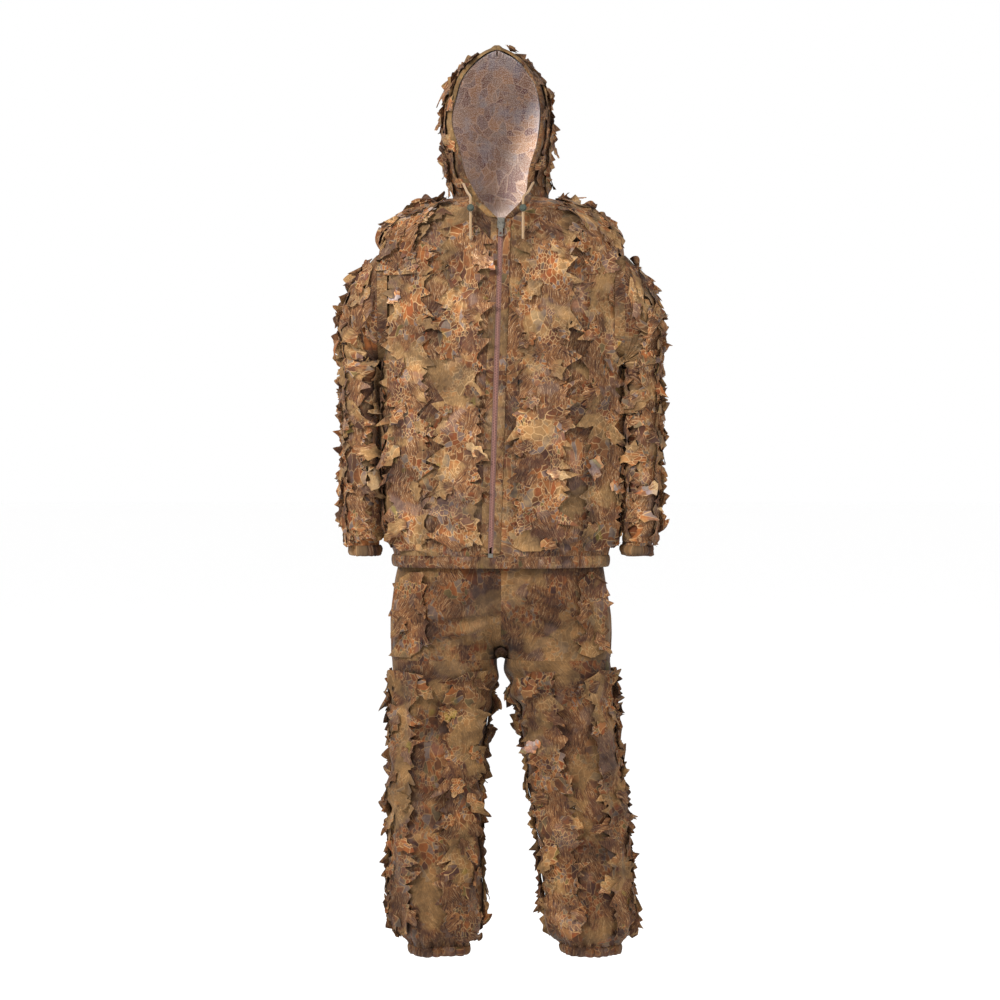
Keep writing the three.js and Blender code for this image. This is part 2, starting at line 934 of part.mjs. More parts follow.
// ---- The hanger loop behind the neck ----

const LOOP_LONG = 50;
const LOOP_WIDE = 9;
const loopMiddle = new THREE.Vector3(0, NECK_DEEP - 14, -12);
add(
  'hanger_loop',
  box(
    loopMiddle.x - LOOP_LONG / 2,
    loopMiddle.x + LOOP_LONG / 2,
    loopMiddle.y - LOOP_WIDE / 2,
    loopMiddle.y + LOOP_WIDE / 2,
    loopMiddle.z - 1,
    loopMiddle.z + 1
  ),
  casing
);

// ---- Sleeves and cuffs ----

const ELBOW = 6; // the step at which the upper sleeve meets the forearm
const ELBOW_GAP = 0.02;
const UPPER_ROWS = [...evenly(0, FAN, 7), ELBOW];
const FOREARM_ROWS = [ELBOW + ELBOW_GAP, 7, 8.2, 9.2, 9.6, 10];
for (const [name, side] of [['right', -1], ['left', 1]]) {
  const arm = sleeve(side);
  add(`${name}_upper_sleeve`, band(arm, UPPER_ROWS, 16, 0, CLOTH), cloth);
  add(`${name}_forearm_sleeve`, band(arm, FOREARM_ROWS, 16, 0, CLOTH), cloth);
  add(`${name}_cuff_elastic`, band(arm, places(10.06, 10.5, 11), 20, 0, CLOTH + 1), casing);
}

// ---- Trousers ----

const HIP_ROWS = [WAIST - WAIST_TALL - 1, -714, -758, -805, -850, CROTCH];
const hipSeam = (z) => hips.whereDeep(z, 0);
add(
  'left_trouser_front',
  panel(hips, HIP_ROWS, () => GAP, (z) => hipSeam(z) - GAP, 7),
  trouserCloth
);
add(
  'right_trouser_front',
  panel(hips, HIP_ROWS, () => -GAP, (z) => GAP - hipSeam(z), 7),
  trouserCloth
);
add(
  'trouser_back',
  panel(hips, HIP_ROWS, (z) => hipSeam(z) + GAP, (z) => 2 * hips.round(z) - hipSeam(z) - GAP, 12),
  trouserCloth
);
const WAIST_ROWS = places(WAIST, WAIST - WAIST_TALL / 2, WAIST - WAIST_TALL);
add('waistband_elastic', band(hips, WAIST_ROWS, 28, 0, CLOTH + 1), casing);

const GUSSET_HALF = 8;
const gussetRows = evenly(-96, 104, 3).map((y) =>
  [-GUSSET_HALF, 0, GUSSET_HALF].map((x) => ({
    p: new THREE.Vector3(x, y, CROTCH - 3 - CLOTH),
    n: new THREE.Vector3(0, 0, 1),
  }))
);
add('crotch_gusset', sheet(gussetRows, 0, CLOTH), trouserCloth);

const LEG_ROWS = [CROTCH - 2, -940, -1000, -1070, -1150, -1230, -1310, -1385, ANKLE + 26, ANKLE + 12, ANKLE];
for (const name of ['right', 'left']) {
  const cloths = leg(name);
  const seam = (z) => cloths.whereDeep(z, 0);
  add(
    `${name}_leg_front`,
    panel(cloths, LEG_ROWS, (z) => GAP - seam(z), (z) => seam(z) - GAP, 6),
    trouserCloth
  );
  add(
    `${name}_leg_back`,
    panel(cloths, LEG_ROWS, (z) => seam(z) + GAP, (z) => 2 * cloths.round(z) - seam(z) - GAP, 6),
    trouserCloth
  );
  const ends = places(ANKLE - 1, ANKLE - ANKLE_TALL / 2, ANKLE - ANKLE_TALL);
  add(`${name}_ankle_elastic`, band(cloths, ends, 20, 0, CLOTH + 1), casing);
}

// ---- Leaf ribbons ----

const CHEST_TOP = -30;
const CHEST_FOOT = JACKET_END + 12;
const BELOW_LOCKS = CORD_END - 8; // the inner chest ribbons start clear of the sliding cord locks
const spread = (z) => torso.section(z).half / CHEST_HALF;
const onTorso = (name, top, middle, half, phase) =>
  add(
    name,
    ribbon(torso, top, CHEST_FOOT, LEAF_STEP / 2, middle, (z) => half * spread(z), phase),
    leaf
  );
onTorso('right_chest_outer_leaves', CHEST_TOP, (z) => -188 * spread(z), 32, 0);
onTorso('right_chest_inner_leaves', BELOW_LOCKS, (z) => zipX(z) - 66 * spread(z), 30, 1);
onTorso('left_chest_inner_leaves', BELOW_LOCKS, (z) => zipX(z) + 92 * spread(z), 44, 0);
onTorso('left_chest_outer_leaves', CHEST_TOP, (z) => 203 * spread(z), 28, 1);
for (const [name, offset, phase] of [
  ['right_back_leaves', 130, 0],
  ['middle_back_leaves', 0, 1],
  ['left_back_leaves', -130, 1],
]) {
  onTorso(name, CHEST_TOP, (z) => torso.round(z) + offset * spread(z), 34, phase);
}

for (const [name, side] of [['right', -1], ['left', 1]]) {
  const arm = sleeve(side);
  const quarter = (t) => (side * arm.round(t)) / 2;
  const upper = ribbon(arm, 1.2, ELBOW - 0.3, 0.5, quarter, () => 18, 0);
  add(`${name}_upper_sleeve_leaves`, upper, leaf);
  const lower = ribbon(arm, ELBOW + 0.3, 9.4, 0.5, quarter, () => 18, 1);
  add(`${name}_forearm_leaves`, lower, leaf);
  const edge = (z) => side * (hoodEdge(z) + CASING_WIDE + 40);
  add(`${name}_hood_leaves`, ribbon(hood, 8, 262, LEAF_STEP / 2, edge, () => 22, side < 0 ? 0 : 1), leaf);
  const cloths = leg(name);
  const low = ANKLE + 24;
  const high = CROTCH - 22;
  for (const [place, middle, half, phase] of [
    ['inner', () => side * -54, 26, 0],
    ['outer', () => side * 78, 26, 1],
    ['back', (z) => cloths.round(z), 32, 1],
  ]) {
    const leaves = ribbon(cloths, high, low, LEAF_STEP / 2, middle, () => half, phase);
    add(`${name}_leg_${place}_leaves`, leaves, leaf);
  }
}
add(
  'hood_back_leaves',
  ribbon(hood, 8, 246, LEAF_STEP / 2, (z) => hood.round(z), () => 24, 1),
  leaf
);

export default suit;
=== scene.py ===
"""A two-piece leafy camouflage suit: zipped, hooded jacket and elasticated trousers, covered with ribbons
of die-cut leaves. The suit hangs as on a standing adult, facing -Y, with the neck at the origin.
Lengths are millimetres in this script's own constants and metres in Blender."""

import math

import bpy
import numpy as np
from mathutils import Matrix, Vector


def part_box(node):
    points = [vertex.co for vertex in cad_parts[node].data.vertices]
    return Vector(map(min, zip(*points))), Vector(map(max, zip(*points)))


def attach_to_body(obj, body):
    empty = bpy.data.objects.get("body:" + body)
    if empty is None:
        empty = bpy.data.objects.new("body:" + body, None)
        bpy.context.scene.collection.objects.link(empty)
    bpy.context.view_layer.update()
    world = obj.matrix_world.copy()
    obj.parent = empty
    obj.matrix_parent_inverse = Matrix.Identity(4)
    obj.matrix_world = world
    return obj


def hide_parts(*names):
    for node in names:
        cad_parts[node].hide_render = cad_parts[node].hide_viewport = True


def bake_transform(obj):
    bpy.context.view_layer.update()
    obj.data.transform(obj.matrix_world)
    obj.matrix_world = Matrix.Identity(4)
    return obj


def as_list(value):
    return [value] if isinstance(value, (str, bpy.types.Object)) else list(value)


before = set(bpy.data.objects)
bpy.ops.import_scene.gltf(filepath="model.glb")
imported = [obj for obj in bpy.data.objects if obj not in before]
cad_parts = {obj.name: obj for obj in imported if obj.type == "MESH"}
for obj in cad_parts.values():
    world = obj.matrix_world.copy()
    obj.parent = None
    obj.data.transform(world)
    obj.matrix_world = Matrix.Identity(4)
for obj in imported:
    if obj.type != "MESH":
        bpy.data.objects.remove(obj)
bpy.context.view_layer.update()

MM = 0.001

# ---- Sizes that repeat the model's ----

ROUNDNESS = 2.4  # the exponent of the garments' rounded sections
SIDES = (("right", -1), ("left", 1))
HOOD_TOP = 285
HOOD_SHIFT = -8
NECK_HALF = 92
NECK_DEEP = 84
CHEST_HALF = 231
HEM_HALF = 208
JACKET_END = -690
HEM_TALL = 24
SHOULDER_DROP = 80
ZIP_TOP = -43
ZIP_END = -684
ZIP_SWAY = -20
ZIP_TOP_DEEP = 106
ZIP_FLARE = 0.045
ARMHOLE_TALL = 105
ARMHOLE_DEEP = 58
ARM_SIDE = 239
ARM_PIT = -318
SLEEVE_WIDE = 63
SLEEVE_END = -672
CUFF_TALL = 20
ELBOW = 6
FAN = 5
WAIST = -640
WAIST_TALL = 40
WAIST_HALF = 184
HIP_HALF = 214
CROTCH = -890
LEG_TOP = 112
LEG_TOP_HALF = 100
LEG_HALF = 84
ANKLE = -1452
ANKLE_HALF = 52
ANKLE_TALL = 20
CORD = 5
CORD_X = 50
CORD_FRONT = -121
CORD_START = 27
CORD_END = -84
CASING_WIDE = 22

# ---- Curves and garment surfaces ----


def curve(keys, at):
    """A smooth curve through (place, value) keys in rising order, which never overshoots them."""
    keys = np.asarray(keys, float)
    place, value = keys[:, 0], keys[:, 1]
    secant = np.diff(value) / np.diff(place)
    slope = np.concatenate([secant[:1], np.zeros(len(keys) - 2), secant[-1:]])
    for i in range(1, len(keys) - 1):
        before, after = secant[i - 1], secant[i]
        if before * after > 0:
            slope[i] = 2 * before * after / (before + after)
    at = np.clip(at, place[0], place[-1])
    i = np.clip(np.searchsorted(place, at, side="right") - 1, 0, len(keys) - 2)
    width = place[i + 1] - place[i]
    u = (at - place[i]) / width
    return (
        (1 + 2 * u) * (1 - u) ** 2 * value[i]
        + u * (1 - u) ** 2 * width * slope[i]
        + u * u * (3 - 2 * u) * value[i + 1]
        + u * u * (u - 1) * width * slope[i + 1]
    )


def front_at(z):
    return ZIP_TOP_DEEP + (ZIP_TOP - z) * ZIP_FLARE


def zip_x(z):
    return ZIP_SWAY * np.maximum(ZIP_TOP - z, 0) / (ZIP_TOP - ZIP_END)


FACE = [
    (ZIP_TOP, 9), (0, 46), (60, 64), (110, 79), (160, 84), (205, 76),
    (240, 57), (262, 37), (274, 18), (280, 1), (HOOD_TOP, 0.5),
]


class Surface:
    """A garment tube as a fine table. Places run along it; distances in millimetres run round it from the
    front middle, positive towards +X. fold(place, distance, half_round) moves the cloth outwards."""

    STEPS = 90

    def __init__(self, low, high, rows, shape, fold=None, morph=None):
        self.low, self.high, self.rows = low, high, rows
        places = np.linspace(low, high, rows)
        angle = np.linspace(0, math.pi, self.STEPS + 1)
        s, c = np.maximum(np.sin(angle), 0), np.cos(angle)
        across = s ** (2 / ROUNDNESS)
        deep = -np.sign(c) * np.abs(c) ** (2 / ROUNDNESS)
        columns = np.linspace(0, 1, self.STEPS + 1)
        self.round = np.empty(rows)
        table = np.empty((rows, 2 * self.STEPS + 1, 3))
        for r, at in enumerate(places):
            m = shape(at)
            x = m["half"] * across
            y = deep * np.where(c > 0, m["front"], m["back"])
            walked = np.concatenate([[0], np.cumsum(np.hypot(np.diff(x), np.diff(y)))])
            self.round[r] = walked[-1]
            x = np.interp(columns * walked[-1], walked, x)
            y = np.interp(columns * walked[-1], walked, y)
            x = np.concatenate([-x[:0:-1], x])
            y = np.concatenate([y[:0:-1], y])
            table[r, :, 0] = m["x"] + x * math.cos(m["tilt"])
            table[r, :, 1] = m["y"] + y
            table[r, :, 2] = m["z"] + x * math.sin(m["tilt"])
        self.middle = table.mean(axis=1)
        if morph:
            table = morph(places[:, None], table)
        self.table = table
        self.normal = self._normals()
        if fold:
            at = np.repeat(places[:, None], 2 * self.STEPS + 1, axis=1)
            d = self.round[:, None] * np.linspace(-1, 1, 2 * self.STEPS + 1)[None, :]
            lift = fold(at, d, self.round[:, None])
            self.table = self.table + self.normal * lift[:, :, None]
            self.normal = self._normals()

    def _normals(self):
        t = self.table
        along = np.empty_like(t)
        along[:, 1:-1] = t[:, 2:] - t[:, :-2]
        along[:, 0] = along[:, -1] = t[:, 1] - t[:, -2]
        up = np.gradient(t, axis=0)
        n = np.cross(along, up)
        n /= np.maximum(np.linalg.norm(n, axis=2, keepdims=True), 1e-9)
        out = t - self.middle[:, None, :]
        n *= np.sign((n * out).sum(axis=2).mean()) or 1
        return n

    def half_round(self, at):
        row = (np.asarray(at, float) - self.low) / (self.high - self.low) * (self.rows - 1)
        return np.interp(row, np.arange(self.rows), self.round)

    def _look(self, table, at, distance):
        at, distance = np.broadcast_arrays(np.asarray(at, float), np.asarray(distance, float))
        row = np.clip((at - self.low) / (self.high - self.low) * (self.rows - 1), 0, self.rows - 1.001)
        share = distance / self.half_round(at)
        share = (share + 1) % 2 - 1
        column = np.clip((share + 1) * self.STEPS, 0, 2 * self.STEPS - 0.001)
        r, c = row.astype(int), column.astype(int)
        u, v = (row - r)[..., None], (column - c)[..., None]
        return (
            table[r, c] * (1 - u) * (1 - v)
            + table[r + 1, c] * u * (1 - v)
            + table[r, c + 1] * (1 - u) * v
            + table[r + 1, c + 1] * u * v
        )

    def point(self, at, distance, lift=0.0):
        p = self._look(self.table, at, distance)
        n = self._look(self.normal, at, distance)
        n /= np.maximum(np.linalg.norm(n, axis=-1, keepdims=True), 1e-9)
        return p + n * np.asarray(lift)[..., None]

    def where_wide(self, at, x):
        """The distance, on the front of the +X side, where the section is x from its own middle."""
        at, x = np.broadcast_arrays(np.asarray(at, float), np.asarray(x, float))
        share = np.linspace(0, 0.5, 80)
        d = self.half_round(at)[..., None] * share
        reach = np.abs(self.point(at[..., None], d)[..., 0] - self.point(at, 0)[..., None, 0])
        reach = np.maximum.accumulate(reach, axis=-1)
        column = np.clip((reach < x[..., None]).sum(axis=-1), 1, 79)
        low = np.take_along_axis(reach, column[..., None] - 1, -1)[..., 0]
        high = np.take_along_axis(reach, column[..., None], -1)[..., 0]
        part = np.clip((x - low) / np.maximum(high - low, 1e-6), 0, 1)
        return self.half_round(at) * (column - 1 + part) * (share[1] - share[0])


def waves(seed, count, along, round_, size):
    """Cloth folds as a sum of a few slanted waves. along and round_ are ranges of wavelengths."""
    rng = np.random.default_rng(seed)
    made = [
        (
            rng.choice([-1, 1]) * 2 * math.pi / rng.uniform(*along), 2 * math.pi / rng.uniform(*round_),
            rng.uniform(0, 2 * math.pi), rng.uniform(0.5, 1),
        )
        for _ in range(count)
    ]

    def height(at, d):
        total = sum(g * np.sin(a * at + b * d + p) for a, b, p, g in made)
        return size * total / math.sqrt(count)

    return height


def bump_at(at, d, place, distance, tall, wide):
    return np.exp(-(((at - place) / tall) ** 2) - ((d - distance) / wide) ** 2)


def torso_shape(z):
    return {
        "x": 0, "y": 0, "z": z, "tilt": 0,
        "half": curve(
            [
                (JACKET_END - HEM_TALL, HEM_HALF), (JACKET_END, HEM_HALF),
                (JACKET_END + 60, CHEST_HALF - 6), (-450, CHEST_HALF),
                (-SHOULDER_DROP, CHEST_HALF - 1), (-52, CHEST_HALF - 19),
                (-26, CHEST_HALF - 54), (-10, CHEST_HALF - 96), (0, NECK_HALF),
            ],
            z,
        ),
        "front": front_at(z)
        if z < ZIP_TOP
        else curve([(ZIP_TOP, ZIP_TOP_DEEP), (-20, ZIP_TOP_DEEP - 8), (0, ZIP_TOP_DEEP - 18)], z),
        "back": curve(
            [(JACKET_END, 126), (-450, 136), (-200, 138), (-90, 126), (-30, 102), (0, NECK_DEEP)], z
        ),
    }


def hood_shape(z):
    return {
        "x": curve([(0, 0), (60, HOOD_SHIFT), (HOOD_TOP, HOOD_SHIFT)], z), "y": 0, "z": z, "tilt": 0,
        "half": curve(
            [
                (0, NECK_HALF), (60, 97), (130, 102), (180, 99), (220, 85), (248, 66),
                (266, 45), (278, 22), (HOOD_TOP, 0.6),
            ],
            z,
        ),
        "front": curve([(0, ZIP_TOP_DEEP - 18), (80, 104), (180, 108), (250, 100), (HOOD_TOP, 82)], z),
        "back": curve(
            [(0, NECK_DEEP), (50, 106), (130, 124), (200, 118), (250, 90), (HOOD_TOP, 40)], z
        ),
    }


def sleeve_shape(side):
    def shape(step):
        wide = curve(
            [
                (0, ARMHOLE_TALL * 2), (1, 152), (2, 108), (3, 80), (4, SLEEVE_WIDE + 5),
                (FAN, SLEEVE_WIDE), (9, SLEEVE_WIDE), (10, SLEEVE_WIDE - 9), (11, SLEEVE_WIDE - 12),
            ],
            step,
        )
        tilt = math.radians(curve([(0, 90), (1, 72), (2, 52), (3, 30), (4, 10), (FAN, 0)], step))
        pit = curve(
            [
                (0, ARM_PIT), (4, ARM_PIT), (FAN, ARM_PIT - 22), (10, SLEEVE_END),
                (11, SLEEVE_END - CUFF_TALL),
            ],
            step,
        )
        deep = curve([(0, ARMHOLE_DEEP), (3, 66), (7, 62), (9, 56), (10, 46), (11, 44)], step)
        return {
            "x": side * (ARM_SIDE + wide / 2 * math.cos(tilt)),
            "y": curve([(0, 0), (6, 0), (11, -14)], step),
            "z": pit + wide / 2 * math.sin(tilt),
            "tilt": side * tilt, "half": wide / 2, "front": deep, "back": deep,
        }

    return shape


def hips_shape(z):
    return {
        "x": 0, "y": 0, "z": z, "tilt": 0,
        "half": curve(
            [
                (CROTCH, HIP_HALF), (-820, HIP_HALF), (-760, HIP_HALF - 6), (-714, HIP_HALF - 14),
                (WAIST - WAIST_TALL, WAIST_HALF + 4), (WAIST, WAIST_HALF),
            ],
            z,
        ),
        "front": curve([(CROTCH, 104), (-820, 120), (-714, 122), (WAIST, 112)], z),
        "back": curve([(CROTCH, 112), (-820, 126), (-714, 116), (WAIST, 104)], z),
    }


LEG_AXIS = {
    "right": [(ANKLE, -122), (-1250, -130), (-1050, -121), (CROTCH, -LEG_TOP)],
    "left": [(ANKLE, 176), (-1250, 160), (-1050, 134), (CROTCH, LEG_TOP)],
}


def legs_from_hips(z, table):
    """The seat and thighs: towards the crotch the one tube takes the outline of the two legs' tops."""
    part = np.clip((CROTCH + 105 - z) / 105, 0, 1)
    part = part * part * (3 - 2 * part)
    x, y = table[..., 0], table[..., 1]
    share = np.clip(np.abs(np.abs(x) - LEG_TOP) / LEG_TOP_HALF, 0, 1)
    valley = 0.62 * (1 - part**4) * (np.abs(x) < LEG_TOP)
    depth = np.maximum((1 - share**ROUNDNESS) ** (1 / ROUNDNESS), valley)
    legs_y = 4 + np.sign(y) * 108 * depth
    made = table.copy()
    made[..., 1] = y * (1 - part) + legs_y * part
    return made


def leg_shape(name):
    foot = [(ANKLE - ANKLE_TALL, ANKLE_HALF), (ANKLE, ANKLE_HALF + 2)]

    def shape(z):
        return {
            "x": curve(LEG_AXIS[name], z), "y": 4, "z": z, "tilt": 0,
            "half": curve(
                foot
                + [
                    (ANKLE + 26, LEG_HALF - 9), (ANKLE + 70, LEG_HALF), (-1250, LEG_HALF),
                    (-1050, LEG_HALF + 4), (CROTCH - 2, LEG_TOP_HALF),
                ],
                z,
            ),
            "front": curve(
                foot + [(ANKLE + 30, 74), (-1250, 80), (-1050, 86), (CROTCH - 2, 108)], z
            ),
            "back": curve(
                foot + [(ANKLE + 30, 76), (-1250, 84), (-1050, 92), (CROTCH - 2, 108)], z
            ),
        }

    return shape


# ---- Folds of each garment ----


def gather(at, d, edge, reach, size, seed):
    """Small pleats that fade with the distance from a gathered edge."""
    fade = np.exp(-np.abs(at - edge) / reach)
    return waves(seed, 4, (200, 500), (13, 26), size)(at, d) * fade


def torso_fold(at, d, half):
    drape = waves(3, 5, (500, 1500), (70, 150), 4.0)(at, d)
    crease = waves(4, 4, (90, 200), (120, 260), 1.6)(at, d)
    calm = np.clip((ZIP_TOP - at) / 60, 0, 1) * np.clip(np.abs(d - zip_x(at)) / 40, 0, 1)
    side = 8 * np.exp(-(((np.abs(d) - half / 2) / 45) ** 2)) * np.clip((ARM_PIT + 30 - at) / 60, 0, 1)
    side = side * np.clip((at - JACKET_END) / 60, 0, 1)
    return (drape + crease) * calm + side + gather(at, d, JACKET_END, 28, 3.0, 5)


def hood_fold(at, d, _):
    soft = waves(7, 4, (90, 180), (90, 200), 2.2)(at, d)
    return soft * np.clip(at / 30, 0, 1) * np.clip((HOOD_TOP - at) / 60, 0, 1)


def sleeve_fold(seed):
    def fold(step, d, _):
        at = -ARM_PIT + step * 62
        rings = waves(seed, 5, (34, 80), (150, 320), 3.0)(at, d)
        drape = waves(seed + 1, 3, (260, 600), (50, 90), 2.0)(at, d)
        calm = np.clip(step / 1.5, 0, 1)
        return (rings + drape) * calm * 0.8 + gather(step * 62, d, 620, 26, 2.4, seed + 2)

    return fold


# The creases that the crotch pulls across the front: side, height and slant.
PULLED_CREASES = [(-1, -800, 0.1), (-1, -832, 0.2), (1, -800, -0.5), (1, -828, -0.62), (1, -772, -0.35)]


def hips_fold(at, d, _):
    drape = waves(21, 4, (160, 400), (70, 140), 3.6)(at, d)
    pulled = sum(
        bump_at(at - slant * (d - side * 80), d, place, side * 80, 8, 60) * 14
        for side, place, slant in PULLED_CREASES
    )
    seam = -2.2 * np.exp(-((d / 2.5) ** 2))
    pocket = -7 * np.exp(-(((np.abs(d) - 262) / 6) ** 2)) * np.clip((at + 830) / 20, 0, 1)
    calm = np.clip((WAIST - WAIST_TALL - at) / 60, 0, 1) * np.clip((at - CROTCH) / 45, 0, 1)
    return (drape + pulled + pocket) * calm + seam


def leg_fold(name, seed):
    side = -1 if name == "right" else 1

    def fold(at, d, half):
        drape = waves(seed, 5, (170, 500), (60, 120), 5)(at, d)
        knee = waves(seed + 1, 3, (50, 90), (200, 400), 3.8)(at, d)
        knee *= np.exp(-(((at + 1180) / 110) ** 2))
        thigh = waves(seed + 2, 3, (40, 70), (160, 360), 7)(at, d)
        thigh *= np.exp(-(((at + 940) / 70) ** 2)) * np.clip(-side * d / 60 + 1, 0, 1)
        calm = np.clip((CROTCH - at) / 40, 0, 1)
        inside = 9 * np.exp(-(((d + side * half / 2) / 46) ** 2) - ((at + 918) / 26) ** 2)
        return inside + (drape + knee + thigh) * calm + gather(at, d, ANKLE, 30, 4.0, seed + 3)

    return fold


torso = Surface(JACKET_END - HEM_TALL, 0, 360, torso_shape, torso_fold)
hood = Surface(0, HOOD_TOP, 220, hood_shape, hood_fold)
sleeves = {n: Surface(0, 11, 260, sleeve_shape(s), sleeve_fold(30 + s)) for n, s in SIDES}
hips = Surface(CROTCH - 2, WAIST, 150, hips_shape, hips_fold, legs_from_hips)
legs = {
    n: Surface(ANKLE - ANKLE_TALL, CROTCH - 2, 300, leg_shape(n), leg_fold(n, seed))
    for n, seed in (("right", 50), ("left", 60))
}

# ---- Materials ----


def linear(r, g, b):
    """An sRGB colour, 0 to 255, as linear RGBA."""
    channels = [c / 255 for c in (r, g, b)]
    return (*[c / 12.92 if c <= 0.04045 else ((c + 0.055) / 1.055) ** 2.4 for c in channels], 1)


class Graph:
    """A material's node tree, built from small steps that return their output sockets."""

    def __init__(self, name):
        self.material = bpy.data.materials.new(name)
        self.material.use_nodes = True
        self.tree = self.material.node_tree
        self.shader = self.tree.nodes["Principled BSDF"]

    def node(self, kind, **settings):
        made = self.tree.nodes.new(kind)
        for key, value in settings.items():
            setattr(made, key, value)
        return made

    def put(self, value, socket):
        if isinstance(value, bpy.types.NodeSocket):
            self.tree.links.new(value, socket)
        else:
            socket.default_value = value

    def math(self, operation, a, b=0.0):
        made = self.node("ShaderNodeMath", operation=operation)
        self.put(a, made.inputs[0])
        self.put(b, made.inputs[1])
        return made.outputs[0]

    def vector(self, operation, a, b):
        made = self.node("ShaderNodeVectorMath", operation=operation)
        self.put(a, made.inputs[0])
        self.put(b, made.inputs["Scale"] if operation == "SCALE" else made.inputs[1])
        return made.outputs[0]

    def mix(self, factor, a, b, blend="MIX"):
        made = self.node("ShaderNodeMix", data_type="RGBA", blend_type=blend)
        self.put(factor, made.inputs[0])
        self.put(a, made.inputs[6])
        self.put(b, made.inputs[7])
        return made.outputs[2]

    def noise(self, vector, scale, detail=2.0, roughness=0.5):
        made = self.node("ShaderNodeTexNoise")
        self.put(vector, made.inputs["Vector"])
        made.inputs["Scale"].default_value = scale
        made.inputs["Detail"].default_value = detail
        made.inputs["Roughness"].default_value = roughness
        return made

    def voronoi(self, vector, scale, feature="F1", randomness=1.0):
        made = self.node("ShaderNodeTexVoronoi", feature=feature, voronoi_dimensions="2D")
        self.put(vector, made.inputs["Vector"])
        made.inputs["Scale"].default_value = scale
        made.inputs["Randomness"].default_value = randomness
        return made

    def step(self, value, low, high):
        """0 below low and 1 above high."""
        made = self.node("ShaderNodeMapRange")
        self.put(value, made.inputs["Value"])
        made.inputs["From Min"].default_value = low
        made.inputs["From Max"].default_value = high
        return made.outputs[0]

    def ramp(self, value, stops):
        made = self.node("ShaderNodeValToRGB")
        while len(made.color_ramp.elements) < len(stops):
            made.color_ramp.elements.new(1.0)
        for element, (place, colour) in zip(made.color_ramp.elements, stops):
            element.position = place
            element.color = colour
        self.put(value, made.inputs[0])
        return made.outputs[0]

    def blot(self, base, place, shift, look, edges, strength, colour):
        """Blotches of a colour; look is the noise's scale, detail and roughness, edges where it sets in."""
        found = self.noise(self.vector("ADD", place, shift), *look).outputs["Fac"]
        return self.mix(self.math("MULTIPLY", self.step(found, *edges), strength), base, colour)

    def warp(self, place, scale, size):
        """The place pushed about by a slow noise."""
        push = self.vector("SUBTRACT", self.noise(place, scale, 2).outputs["Color"], (0.5, 0.5, 0.5))
        return self.vector("ADD", place, self.vector("SCALE", push, size))

    def net(self, place, scale, turn, reach_scale):
        """Cells and their edges in polar coordinates round the nearest of many scattered centres."""
        centre = self.voronoi(place, scale)
        local = self.separate(self.vector("SUBTRACT", place, centre.outputs["Position"]))
        angle = self.math("ARCTAN2", local[1], local[0])
        squares = [self.math("MULTIPLY", local[i], local[i]) for i in (0, 1)]
        reach = self.math("SQRT", self.math("ADD", *squares))
        outwards = self.math("MULTIPLY", self.math("POWER", reach, NET_GROWTH), reach_scale)
        polar = self.combine(self.math("MULTIPLY", angle, turn), outwards)
        return self.voronoi(polar, 1.0), self.voronoi(polar, 1.0, "DISTANCE_TO_EDGE")

    def combine(self, x, y, z=0.0):
        made = self.node("ShaderNodeCombineXYZ")
        for value, socket in zip((x, y, z), made.inputs):
            self.put(value, socket)
        return made.outputs[0]

    def separate(self, vector):
        made = self.node("ShaderNodeSeparateXYZ")
        self.put(vector, made.inputs[0])
        return made.outputs

    def cloth_place(self):
        """Where a point is on the flat cloth, in metres."""
        return self.node("ShaderNodeUVMap", uv_map="cloth").outputs[0]

    def bump(self, height, strength, distance):
        made = self.node("ShaderNodeBump")
        self.put(height, made.inputs["Height"])
        made.inputs["Strength"].default_value = strength
        made.inputs["Distance"].default_value = distance
        self.tree.links.new(made.outputs[0], self.shader.inputs["Normal"])

    def set(self, **values):
        for key, value in values.items():
            self.put(value, self.shader.inputs[key.replace("_", " ")])


NET_GROWTH = 0.62
TAN = linear(158, 116, 80)
ORANGE = linear(170, 106, 60)
BROWN = linear(122, 80, 50)
MAROON = linear(84, 56, 52)
LILAC = linear(142, 126, 126)
OLIVE = linear(124, 106, 60)
CREAM = linear(224, 194, 160)
STRAW = linear(186, 154, 108)
DARK = linear(56, 38, 26)
MOSS = linear(150, 146, 62)
RUST = linear(150, 86, 50)
PALE_LINE = linear(212, 178, 136)


